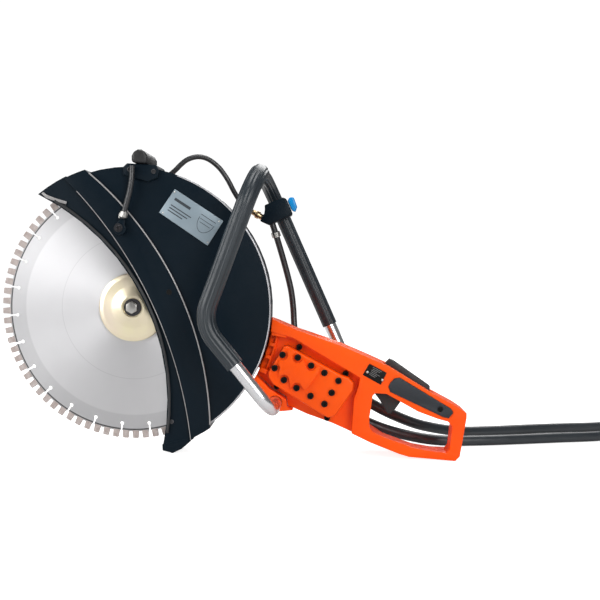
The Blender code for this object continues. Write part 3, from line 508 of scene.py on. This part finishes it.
def polar(radius, degrees, centre=(0.0, 0.0)):
    """A point at a distance and an angle from a centre."""
    angle = math.radians(degrees)
    return (centre[0] + radius * math.cos(angle), centre[1] + radius * math.sin(angle))


def arc(radius, first, last, steps, centre=(0.0, 0.0)):
    """Points on an arc, both ends included."""
    return [polar(radius, first + (last - first) * i / steps, centre) for i in range(steps + 1)]


def slab_into(shape, outline, y_near, y_far):
    """Adds a flat outline in X and Z, pulled out between two Y planes, and gives its edges."""
    verts = [shape.verts.new((x, y_near, z)) for x, z in outline]
    face = shape.faces.new(verts)
    pulled = bmesh.ops.extrude_face_region(shape, geom=[face], use_keep_orig=True)["geom"]
    moved = [item for item in pulled if isinstance(item, bmesh.types.BMVert)]
    bmesh.ops.translate(shape, vec=(0.0, y_far - y_near, 0.0), verts=moved)
    return {edge for vert in verts + moved for edge in vert.link_edges}


# Angles are in degrees from the saw's X, and each half width of the keyhole is an angle too
SLOTS = 27
FIRST_SLOT = 130.5
SLOT_PITCH = 360.0 / SLOTS
CORE_RADIUS = 192.5
HALF_SLOT = 0.41
KEYHOLE = [(184.0, 0.43), (182.4, 0.86), (180.6, 1.0), (178.8, 0.62)]
KEYHOLE_FOOT = 178.2
CORE_HALF = 1.7
core_outline = []
for slot in range(SLOTS):
    middle = FIRST_SLOT + slot * SLOT_PITCH
    core_outline += arc(CORE_RADIUS, middle - SLOT_PITCH + HALF_SLOT, middle - HALF_SLOT, 6)
    core_outline += [polar(reach, middle - half) for reach, half in KEYHOLE]
    core_outline += [polar(KEYHOLE_FOOT, middle)]
    core_outline += [polar(reach, middle + half) for reach, half in reversed(KEYHOLE)]
core = bmesh.new()
slab_into(core, core_outline, -CORE_HALF, CORE_HALF)
settle("blade_core", in_place(core), BLADE_STEEL, "cutting_group", "blade_steel", "blade")

SEGMENT = finish_of(
    "sintered segment", (0.44, 0.37, 0.345), (0.55, 0.49, 0.47), (0.5, 0.75), 1500.0, 0.0008, 160.0, 0.4,
)
TEETH_PER_SLOT = 3
TOOTH_FOOT = 191.2
TOOTH_TIP = 203.0
TOOTH_HALF = 2.0
teeth = bmesh.new()
for tooth in range(SLOTS * TEETH_PER_SLOT):
    middle = FIRST_SLOT + (tooth + 0.5) * SLOT_PITCH / TEETH_PER_SLOT
    outline = [
        polar(TOOTH_FOOT, middle - 1.5), polar(TOOTH_TIP, middle - 1.18), polar(TOOTH_TIP, middle),
        polar(TOOTH_TIP, middle + 1.18), polar(TOOTH_FOOT, middle + 1.5),
    ]
    slab_into(teeth, outline, -TOOTH_HALF, TOOTH_HALF)
soften(teeth, sharp_edges(teeth), 0.35, 1)
settle("blade_segments", in_place(teeth), SEGMENT, "cutting_group", "blade_steel")


# ---- Flanges, washer and bolt: two turned steel flanges, zinc plated and passivated yellow.
# A black washer and a plated hexagon bolt clamp them and the blade on the spindle.

YELLOW_ZINC = finish_of(
    "yellow zinc", (0.95, 0.86, 0.60), (0.92, 0.80, 0.64), (0.3, 0.38), 900.0, 0.00004, 22.0, 0.9,
)
outer = bmesh.new()
turned_into(
    outer,
    [(2.1, 12.7), (2.1, 52.0), (2.8, 52.5), (6.4, 52.5), (7.2, 51.8), (7.6, 50.4), (8.9, 46.8),
     (9.2, 45.4), (9.5, 33.6), (10.1, 31.4), (14.2, 19.2), (14.9, 17.6), (15.0, 16.9), (15.0, 15.2),
     (14.5, 14.6), (9.6, 14.6), (9.6, 12.7), (2.1, 12.7)],
    (0, 0, 0), (0, -1, 0), 72,
)
settle("outer_flange_turned", in_place(outer), YELLOW_ZINC, "cutting_group", "yellow_zinc", "outer_flange")
repaint(YELLOW_ZINC, "inner_flange")

washer = bmesh.new()
turned_into(
    washer, [(10.0, 5.4), (10.0, 13.0), (10.4, 13.4), (12.5, 13.4), (12.9, 13.0), (12.9, 5.4), (10.0, 5.4)],
    (0, 0, 0), (0, -1, 0), 40,
)
settle(
    "blade_washer_turned", in_place(washer), BLACKENED_STEEL, "cutting_group", "dark_steel", "blade_washer",
)
softened("blade_bolt", 0.0009, PLATED_STEEL, "dark_steel", "cutting_group")


# ---- Guard: a deep shell over the back half of the blade, coated satin blue-black.
# The lip, the band and the drum step out of each other, and a pale bead along each step is a painted
# highlight of its ridge.

GUARD_COAT = finish_of(
    "guard coat", (0.003, 0.0085, 0.0145), (0.0045, 0.0105, 0.017), (0.3, 0.38), 1300.0, 0.00022, 7.0,
    Specular_IOR_Level=0.12,
)
GUARD_FACE = -34.0
CHEEK_FACE = -28.6
softened("guard_shell", 0.0032, GUARD_COAT, "guard_black", "guard", 4, 50.0)

PALE_PAINTED_HIGHLIGHT = finish_of(
    "pale painted highlight", (0.42, 0.41, 0.41), (0.34, 0.33, 0.33), (0.3, 0.4), 800.0, 0.0001, 60.0, 0.4,
)


def divider(centre, radius, first, last, y, steps=48):
    """Points in metres along an arc on the guard's face, from a height to another."""
    top = math.degrees(math.asin((first - centre[1]) / radius))
    foot = math.degrees(math.asin((last - centre[1]) / radius))
    return [SAW @ Vector((x, y, z)) for x, z in arc(radius, top, foot, steps, centre)]


# Pale beads along the band and lip steps: their pale colour is a painted highlight of each ridge
for name, centre, radius, first, last, thick in (
    ("band_ridge_highlight", (-389.5, -187.1), 510.6, 203.0, -176.0, 0.0011),
    ("lip_ridge_highlight", (-567.5, -272.2), 663.0, 176.0, -200.0, 0.0006),
):
    tube(name, divider(centre, radius, first, last, GUARD_FACE), thick, PALE_PAINTED_HIGHLIGHT, "guard", "guard_black")
repaint(DARK_RUBBER, "guard_edge_strip")

# A pale strip along the top of the lip is a painted highlight on its upper edge
lip_highlight_strip = bmesh.new()
slab_into(
    lip_highlight_strip, [(-133.0, 172.5), (-126.0, 166.0), (-112.0, 161.0), (-96.0, 156.5), (-94.5, 160.5),
                (-110.0, 165.0), (-124.0, 170.0), (-130.5, 175.0)],
    -32.2, -29.5,
)
soften(lip_highlight_strip, sharp_edges(lip_highlight_strip), 0.8, 3)
settle("guard_lip_highlight_strip", in_place(lip_highlight_strip), PALE_PAINTED_HIGHLIGHT, "guard", "guard_black")

# A pale tube along the drum's rounded rim is a painted highlight of that edge
rim = [SAW @ Vector((x, CHEEK_FACE, z)) for x, z in arc(211.8, 70.0, -60.0, 64)]
PAINTED_RIM_HIGHLIGHT = finish_of(
    "painted rim highlight", (0.62, 0.62, 0.64), (0.5, 0.5, 0.52), (0.3, 0.4), 800.0, 0.0001, 30.0, 0.3,
)
tube("rim_painted_highlight", rim, 0.0016, PAINTED_RIM_HIGHLIGHT, "guard", "guard_black")

# A black disc on the guard's face stands for the sight hole: painted shade where the hole's dark inside
# would be
hole = bmesh.new()
turned_into(
    hole, [(0.3, 0.0), (0.3, 4.2), (-0.6, 4.4), (-0.6, 0.0)], (60.0, GUARD_FACE, 24.0), (0, -1, 0), 28,
)
# One black finish for the screws and plates, and for the sight hole's disc, where it is painted shade
BLACK_AND_HOLE_SHADE = finish_of(
    "black parts and painted hole shade", (0.002, 0.002, 0.002), (0.004, 0.004, 0.004), (0.45, 0.55), 600.0, 0.0001,
    Specular_IOR_Level=0.2,
)
settle("guard_sight_hole_shade", in_place(hole), BLACK_AND_HOLE_SHADE, "guard", "guard_black")
cap_screws(
    "guard_lip_screws", [(-99.0, 157.0), (62.0, -173.0)], CHEEK_FACE, radius=3.4, height=1.8, side=-1.0,
    material=BLACKENED_STEEL, body="guard", slot="dark_steel",
)

# The saddle is bolted over the rim and carries the ribbed bar that the guard is turned by
softened("guard_saddle", 0.0016, GUARD_COAT, "guard_black", "guard")
BLACK_PLASTIC = finish_of(
    "black plastic", (0.012, 0.012, 0.013), (0.018, 0.018, 0.02), (0.34, 0.5), 1400.0, 0.0003,
)
softened("guard_adjuster_grip", 0.0042, BLACK_PLASTIC, "black_plastic", "guard", 4)
SADDLE_HALF = 36.0
for name, side in (("saddle_screws", -1.0), ("saddle_screws_far", 1.0)):
    cap_screws(
        name, [(2.0, 208.0), (38.0, 205.0)], side * SADDLE_HALF, radius=3.6, height=2.2, side=side,
        material=BLACKENED_STEEL, body="guard", slot="dark_steel",
    )


# ---- Guard plate: a thin aluminium plate held by four small rivets.
# Its print is only rules and a plain outline.

PALE_PLATE = finish_of(
    "pale plate", (0.30, 0.37, 0.42), (0.26, 0.33, 0.38), (0.35, 0.45), 900.0, 0.0001, 20.0, 0.35,
)
softened("guard_plate", 0.0003, PALE_PLATE, "pale_plate", "guard", 2)
PLATE_FACE = -31.3
PRINT = finish_of("dark print", (0.03, 0.04, 0.05), (0.04, 0.05, 0.06), (0.45, 0.55), 900.0, 0.0001)
along = Vector((73.0, -48.0)).normalized()
down = Vector((-24.0, -36.0)).normalized()
corner = Vector((69.0, 179.0))
print_shape = bmesh.new()
for left, right, top, thick in (
    (8.0, 36.0, 10.0, 4.2), (8.0, 44.0, 22.0, 1.6), (8.0, 40.0, 26.5, 1.6), (8.0, 34.0, 31.0, 1.6),
    (54.0, 80.0, 9.0, 0.9), (56.0, 78.0, 15.0, 0.8), (58.0, 76.0, 20.0, 0.8),
):
    begin = corner + along * left + down * top
    end = corner + along * right + down * top
    outline = [begin, end, end + down * thick, begin + down * thick]
    slab_into(print_shape, [tuple(point) for point in outline], PLATE_FACE - 0.25, PLATE_FACE)
settle("guard_plate_print", in_place(print_shape), PRINT, "guard", "pale_plate")
bowl = [corner + along * (67.0 + 13.0 * math.cos(a)) + down * (14.0 + 19.0 * math.sin(a))
        for a in (math.pi * i / 24 for i in range(25))]
bowl_path = [SAW @ Vector((p.x, -31.45, p.y)) for p in bowl]
tube("guard_plate_outline", bowl_path, 0.00035, PRINT, "guard", "pale_plate", resolution=2)


def rivets(name, places, y_face, radius, material, body, slot):
    """Domed rivet heads on a near face."""
    shape = bmesh.new()
    profile = [(radius * 0.5, 0.0), (radius * 0.46, radius * 0.4), (radius * 0.3, radius * 0.8),
               (0.0, radius), (-0.3, radius)]
    for x, z in places:
        turned_into(shape, profile, (x, y_face, z), (0.0, -1.0, 0.0), 16)
    settle(name, in_place(shape), material, body, slot)


rivets(
    "guard_plate_rivets", [(68.6, 174.5), (135.6, 130.5), (118.3, 99.0), (51.0, 143.5)], -31.35, 1.5,
    PLATED_STEEL, "guard", "steel",
)


# ---- Guard water feed: a coated banjo nozzle on each cheek, held by a black hollow screw.
# A short rubber hose from under the saddle feeds each one, and a band clamp holds the near hose.

WATER_RUBBER = finish_of(
    "water hose rubber", (0.022, 0.023, 0.025), (0.032, 0.033, 0.036), (0.25, 0.38), 900.0, 0.0003,
    Specular_IOR_Level=0.65,
)
WATER_HOSE_RADIUS = 0.0041
FAR_NOZZLE_FACE = 30.8
for side, name, face in ((-1.0, "near", GUARD_FACE), (1.0, "far", FAR_NOZZLE_FACE)):
    softened(f"nozzle_{name}", 0.0014, GUARD_COAT, "guard_black", "guard")
    depth = 40.6 * side
    route = [
        (-8.2, depth, 134.6), (-5.5, depth, 146.0), (-0.5, depth + side, 163.0),
        (3.5, depth + side * 1.5, 178.0), (6.0, depth + side * 1.5, 194.0), (7.0, depth + side, 213.0),
    ]
    points = [SAW @ point for point in smooth_path(route, 4.0)]
    tube(
        f"nozzle_hose_{name}_skin", points, WATER_HOSE_RADIUS, WATER_RUBBER, "guard", "black_rubber",
        f"nozzle_hose_{name}",
    )
    banjo = bmesh.new()
    turned_into(
        banjo,
        [(11.6, 0.0), (11.6, 1.7), (13.4, 2.1), (13.4, 3.2), (12.8, 3.8), (11.4, 3.8), (11.4, 6.4),
         (10.2, 6.6)],
        (-14.0, face, 120.5), (0.0, side, 0.0), 24,
    )
    settle(f"banjo_screw_{name}", in_place(banjo), BLACKENED_STEEL, "guard", "dark_steel")
repaint(PLATED_STEEL, "nozzle_hose_clamp")
ear = bmesh.new()
for outline in (
    [(-13.9, 135.4), (-11.9, 134.4), (-10.9, 142.4), (-12.9, 143.4)],
    [(-4.1, 137.4), (-2.3, 138.4), (-2.7, 145.0), (-4.5, 144.4)],
):
    slab_into(ear, outline, -44.0, -37.0)
soften(ear, sharp_edges(ear), 0.5, 2)
settle("nozzle_clamp_ears", in_place(ear), PLATED_STEEL, "guard", "steel")


# ---- Body and rear handle: two castings, split along the middle of the handle.
# The near one has a deep pocket for the valve, and ribs behind the guard.

for side in ("near", "far"):
    softened(f"handle_shell_{side}", 0.003, ORANGE, "orange", segments=4, degrees=50.0)

RIB_FOOT = -5.2
front_ribs = bmesh.new()
for first, last, inner, outer, top in (
    (-8.4, -11.0, 217.0, 240.0, -21.5), (-14.0, -15.4, 217.0, 226.0, -17.0),
    (-19.2, -20.6, 217.0, 226.0, -17.0), (-24.6, -26.4, 217.0, 229.0, -19.0),
    (-11.0, -26.0, 224.0, 227.5, -12.0),
):
    outline = arc(inner, first, last, 6) + arc(outer, last, first, 6)
    slab_into(front_ribs, outline, top, RIB_FOOT)
soften(front_ribs, sharp_edges(front_ribs), 1.1, 3)
settle("front_ribs", in_place(front_ribs), ORANGE, "chassis", "orange")

GRIP_RUBBER = finish_of(
    "grip rubber", (0.010, 0.014, 0.020), (0.015, 0.020, 0.027), (0.36, 0.48), 1500.0, 0.0006,
)
for side in ("near", "far"):
    softened(f"grip_insert_{side}", 0.0016, GRIP_RUBBER, "black_rubber")
GRIP_FACE = -24.6
cap_screws(
    "grip_screw", [(469.0, -153.0)], GRIP_FACE, radius=3.6, height=1.6, side=-1.0, material=BLACK_AND_HOLE_SHADE,
    body="chassis", slot="dark_steel",
)
repaint(BLACKENED_STEEL, "grip_insert_screw")

softened("rating_plate", 0.0003, BLACK_AND_HOLE_SHADE, "black_plastic", segments=2)
RATING_FACE = -25.2
lines = bmesh.new()
plate_along = Vector((26.0, -14.0)).normalized()
plate_down = Vector((-10.0, -17.0)).normalized()
for row in range(6):
    begin = Vector((366.0, -89.5)) + plate_down * (row * 2.4 - 1.0) + plate_along * (1.0 + row % 2)
    end = begin + plate_along * (15.0 - 2.5 * (row % 3))
    outline = [begin, end, end + plate_down * 0.7, begin + plate_down * 0.7]
    slab_into(lines, [tuple(point) for point in outline], RATING_FACE - 0.25, RATING_FACE)
PALE_PRINT = finish_of("pale print", (0.16, 0.16, 0.16), (0.2, 0.2, 0.2), (0.5, 0.6), 900.0, 0.0001)
settle("rating_plate_rules", in_place(lines), PALE_PRINT, "chassis", "black_plastic")
rivets(
    "rating_plate_rivets", [(359.0, -97.0), (381.5, -109.0)], -25.3, 2.1, PLATED_STEEL, "chassis", "steel",
)


# ---- Valve and its cover: the hydraulic valve sits in the body under a cast cover.
# The cover has a raised middle with a scallop round most of its eleven black cap screws.

softened("valve_cover", 0.0026, ORANGE, "orange", segments=4)
repaint(CASTING, "valve_block")
repaint(SHAFT_STEEL, "valve_spool")
repaint(BLACK_PLASTIC, "cover_gasket")

cover_screws = [
    (231.0, -70.0), (254.0, -74.0), (274.0, -86.0), (294.0, -97.0), (315.0, -109.0), (305.0, -127.0),
    (294.0, -144.0), (273.0, -132.0), (252.0, -120.0), (233.0, -108.0), (219.0, -90.0),
]
SCALLOP = 8.2
plateau = bmesh.new()
outline = [(243.5, -59.5)]
for (x, z), first, last in (
    ((254.0, -74.0), 118.0, 338.0), ((274.0, -86.0), 170.0, 350.0),
):
    outline += arc(SCALLOP, first, last, 12, (x, z))
outline += [(287.0, -88.0), (286.0, -95.0), (269.0, -119.0), (264.0, -122.5)]
outline += arc(SCALLOP, 20.0, 190.0, 10, (252.0, -120.0))
outline += arc(SCALLOP, -10.0, 150.0, 10, (233.0, -108.0))
outline += arc(SCALLOP, -40.0, 50.0, 6, (219.0, -90.0))
outline += arc(SCALLOP, 240.0, 400.0, 10, (231.0, -70.0))
slab_into(plateau, outline, -39.0, -33.2)
soften(plateau, sharp_edges(plateau), 1.9, 4)
settle("cover_plateau", in_place(plateau), ORANGE, "chassis", "orange")
COVER_FACE = -34.0
cap_screws(
    "cover_screws", cover_screws, COVER_FACE, radius=4.9, height=4.2, side=-1.0, material=BLACK_AND_HOLE_SHADE,
    body="chassis", slot="dark_steel",
)
POCKET_FLOOR = -6.0
cap_screws(
    "body_screws", [(255.5, -60.5), (326.5, -101.0), (298.0, -169.0), (221.0, -121.0)], POCKET_FLOOR,
    radius=4.6, height=8.0, side=-1.0, material=BLACK_AND_HOLE_SHADE, body="chassis", slot="dark_steel",
)


# ---- Trigger and lock: moulded black levers on ground steel pins.
# The trigger sits inside the handle's loop, and the lock in a slot on its top.

softened("trigger", 0.002, BLACK_PLASTIC, "black_plastic", "trigger")
softened("trigger_lock", 0.002, BLACK_PLASTIC, "black_plastic", "trigger_lock")
repaint(SHAFT_STEEL, "trigger_pin", "lock_pin", "trigger_spring")


# ---- Front handle: one bent aluminium tube with two fluted rubber sleeves.
# It is clamped in front of the body and ends in a boss on the far side.

def bent_path(corners, radii, steps=10):
    """A path of straight runs with a round bend of its own radius at each inner corner."""
    path = [Vector(corners[0])]
    for before, corner, after, radius in zip(corners, corners[1:], corners[2:], radii):
        corner = Vector(corner)
        come = (corner - Vector(before)).normalized()
        leave = (Vector(after) - corner).normalized()
        angle = come.angle(leave)
        begin = corner - come * radius * math.tan(angle / 2)
        inward = (leave - come * leave.dot(come)).normalized()
        for step in range(steps + 1):
            turn = angle * step / steps
            path.append(
                begin + inward * radius * (1 - math.cos(turn)) + come * radius * math.sin(turn)
            )
    path.append(Vector(corners[-1]))
    return path


def stretch(points, begin, end):
    """The part of a path between two distances from its start."""
    travelled = 0.0
    kept = [along_path(points, begin)]
    for p, q in zip(points, points[1:]):
        travelled += (q - p).length
        if begin + 1.0 < travelled < end - 1.0:
            kept.append(q)
    kept.append(along_path(points, end))
    return kept


BRIGHT_TUBE = finish_of(
    "bright tube", (0.86, 0.865, 0.88), (0.8, 0.805, 0.82), (0.25, 0.29), 900.0, 0.00002, 20.0, 1.0,
)
handle_path = bent_path(
    [(219.0, 8.0, -144.0), (219.0, -112.0, -144.0), (118.0, -112.0, -18.0), (199.0, -112.0, 200.0),
     (200.0, 108.0, 200.0), (331.0, 108.0, -98.0), (331.0, 49.0, -98.0)],
    [28.0, 55.0, 55.0, 55.0, 30.0],
)
tube(
    "front_handle_bright", [SAW @ point for point in handle_path], 0.01, BRIGHT_TUBE, "chassis",
    "aluminium_tube", "front_handle_tube", resolution=8,
)


def swept(name, points, section):
    """A closed shape, in metres: a section of points in metres carried along points in millimetres."""
    around = bpy.data.curves.new(f"{name}_section", "CURVE")
    ring = around.splines.new("POLY")
    ring.points.add(len(section) - 1)
    for point, (x, y) in zip(ring.points, section):
        point.co = (x, y, 0.0, 1.0)
    ring.use_cyclic_u = True
    outline = bpy.data.objects.new(f"{name}_section", around)
    path = bpy.data.curves.new(name, "CURVE")
    path.dimensions = "3D"
    path.bevel_mode = "OBJECT"
    path.bevel_object = outline
    path.use_fill_caps = True
    spline = path.splines.new("POLY")
    spline.points.add(len(points) - 1)
    for point, where in zip(spline.points, points):
        point.co = (*(SAW @ where), 1.0)
    curve = bpy.data.objects.new(name, path)
    bpy.context.scene.collection.objects.link(outline)
    bpy.context.scene.collection.objects.link(curve)
    bpy.context.view_layer.update()
    evaluated = curve.evaluated_get(bpy.context.evaluated_depsgraph_get())
    shape = bmesh.new()
    shape.from_mesh(bpy.data.meshes.new_from_object(evaluated))
    bpy.data.objects.remove(curve)
    bpy.data.objects.remove(outline)
    bmesh.ops.remove_doubles(shape, verts=shape.verts, dist=0.000002)
    bmesh.ops.recalc_face_normals(shape, faces=shape.faces)
    return shape


def fluted(outer, depth, flutes):
    """A round section in metres with grooves, from a radius and a depth in millimetres."""
    section = []
    count = flutes * 12
    for i in range(count):
        turn = 2 * math.pi * i / count
        groove = max(0.0, math.cos(turn * flutes)) ** 2
        reach = (outer - depth * groove) * 0.001
        section.append((reach * math.cos(turn), reach * math.sin(turn)))
    return section


SLEEVE_RUBBER = finish_of(
    "sleeve rubber", (0.015, 0.022, 0.028), (0.022, 0.03, 0.038), (0.28, 0.4), 1200.0, 0.0003,
    Specular_IOR_Level=0.55,
)
for node, begin, end, section in (
    ("front_grip_near", 192.0, 530.0, fluted(13.6, 1.0, 8)),
    ("front_grip_far", 531.0, 924.0, fluted(11.9, 0.8, 8)),
):
    shape = swept(node, stretch(handle_path, begin, end), section)
    settle(f"{node}_fluted", shape, SLEEVE_RUBBER, "chassis", "black_rubber", node)
softened("handle_clamp_near", 0.0016, ORANGE, "orange")
softened("handle_clamp_far", 0.0012, ORANGE, "orange")


# ---- Water tap: a coated brass body clamped on the handle, with a blue plastic knob.
# One rubber hose brings the water up from the body, and one takes it over to the guard.

softened("water_valve_body", 0.002, GUARD_COAT, "guard_black")
BLUE = finish_of(
    "blue plastic", (0.0, 0.30, 0.72), (0.0, 0.25, 0.64), (0.25, 0.35), 900.0, 0.0002,
)
softened("water_tap_knob", 0.0022, BLUE, "blue_plastic", "tap")
BRASS = finish_of(
    "brass", (0.62, 0.45, 0.26), (0.5, 0.37, 0.22), (0.2, 0.34), 600.0, 0.0002, 40.0, 1.0,
)
softened("water_valve_nipple", 0.0005, BRASS, "brass", segments=2)
softened("water_inlet_connector", 0.0006, BRASS, "brass", segments=2)
repaint(PLATED_STEEL, "inlet_hose_clamp")

nipple_start = Vector((194.0, 76.0, 141.0))
nipple_way = Vector((-0.87, 0.0, 0.5)).normalized()
supply_end = nipple_start + nipple_way * 18.5
supply = [
    (30.0, 36.6, 200.0), (30.3, 47.0, 200.0), (36.0, 54.0, 202.0), (46.0, 56.0, 207.0),
    (56.0, 56.5, 215.0), (66.0, 57.0, 225.0), (77.0, 58.0, 233.0), (93.0, 60.0, 237.0),
    (109.0, 62.0, 233.0), (125.0, 65.0, 220.5), (138.0, 68.0, 202.5), (149.0, 71.0, 181.5),
    (160.0, 74.0, 164.5), supply_end + nipple_way * 8.0, supply_end,
]
# On the saw this hose bends when the guard is turned, one end staying with the valve and the other going
# with the guard; here it is one fixed mesh on no body
supply_shape = swept("guard_supply", smooth_path(supply, 4.0), arc(WATER_HOSE_RADIUS, 0.0, 345.0, 23))
supply_mesh = bpy.data.meshes.new("guard_supply_hose_skin")
supply_shape.to_mesh(supply_mesh)
supply_shape.free()
supply_mesh.shade_smooth()
supply_mesh.materials.append(WATER_RUBBER)
supply_hose = bpy.data.objects.new("guard_supply_hose_skin", supply_mesh)
bpy.context.scene.collection.objects.link(supply_hose)
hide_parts("guard_supply_hose")
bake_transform(supply_hose)
inlet = [
    (209.2, 75.6, 133.6), (210.5, 76.0, 129.0), (214.0, 77.5, 118.0), (221.5, 82.0, 93.0),
    (228.5, 86.0, 68.0), (235.0, 89.0, 43.0), (240.0, 90.0, 20.0), (243.0, 90.0, -6.0), (244.0, 89.0, -24.0),
    (245.5, 84.5, -41.0), (249.5, 75.5, -56.0), (258.6, 69.8, -66.3), (269.7, 69.5, -72.1),
]
INLET_HOSE_RADIUS = 0.005
tube(
    "water_inlet_hose_skin", [SAW @ point for point in smooth_path(inlet, 5.0)], INLET_HOSE_RADIUS,
    WATER_RUBBER,
    "chassis", "black_rubber", "water_inlet_hose",
)
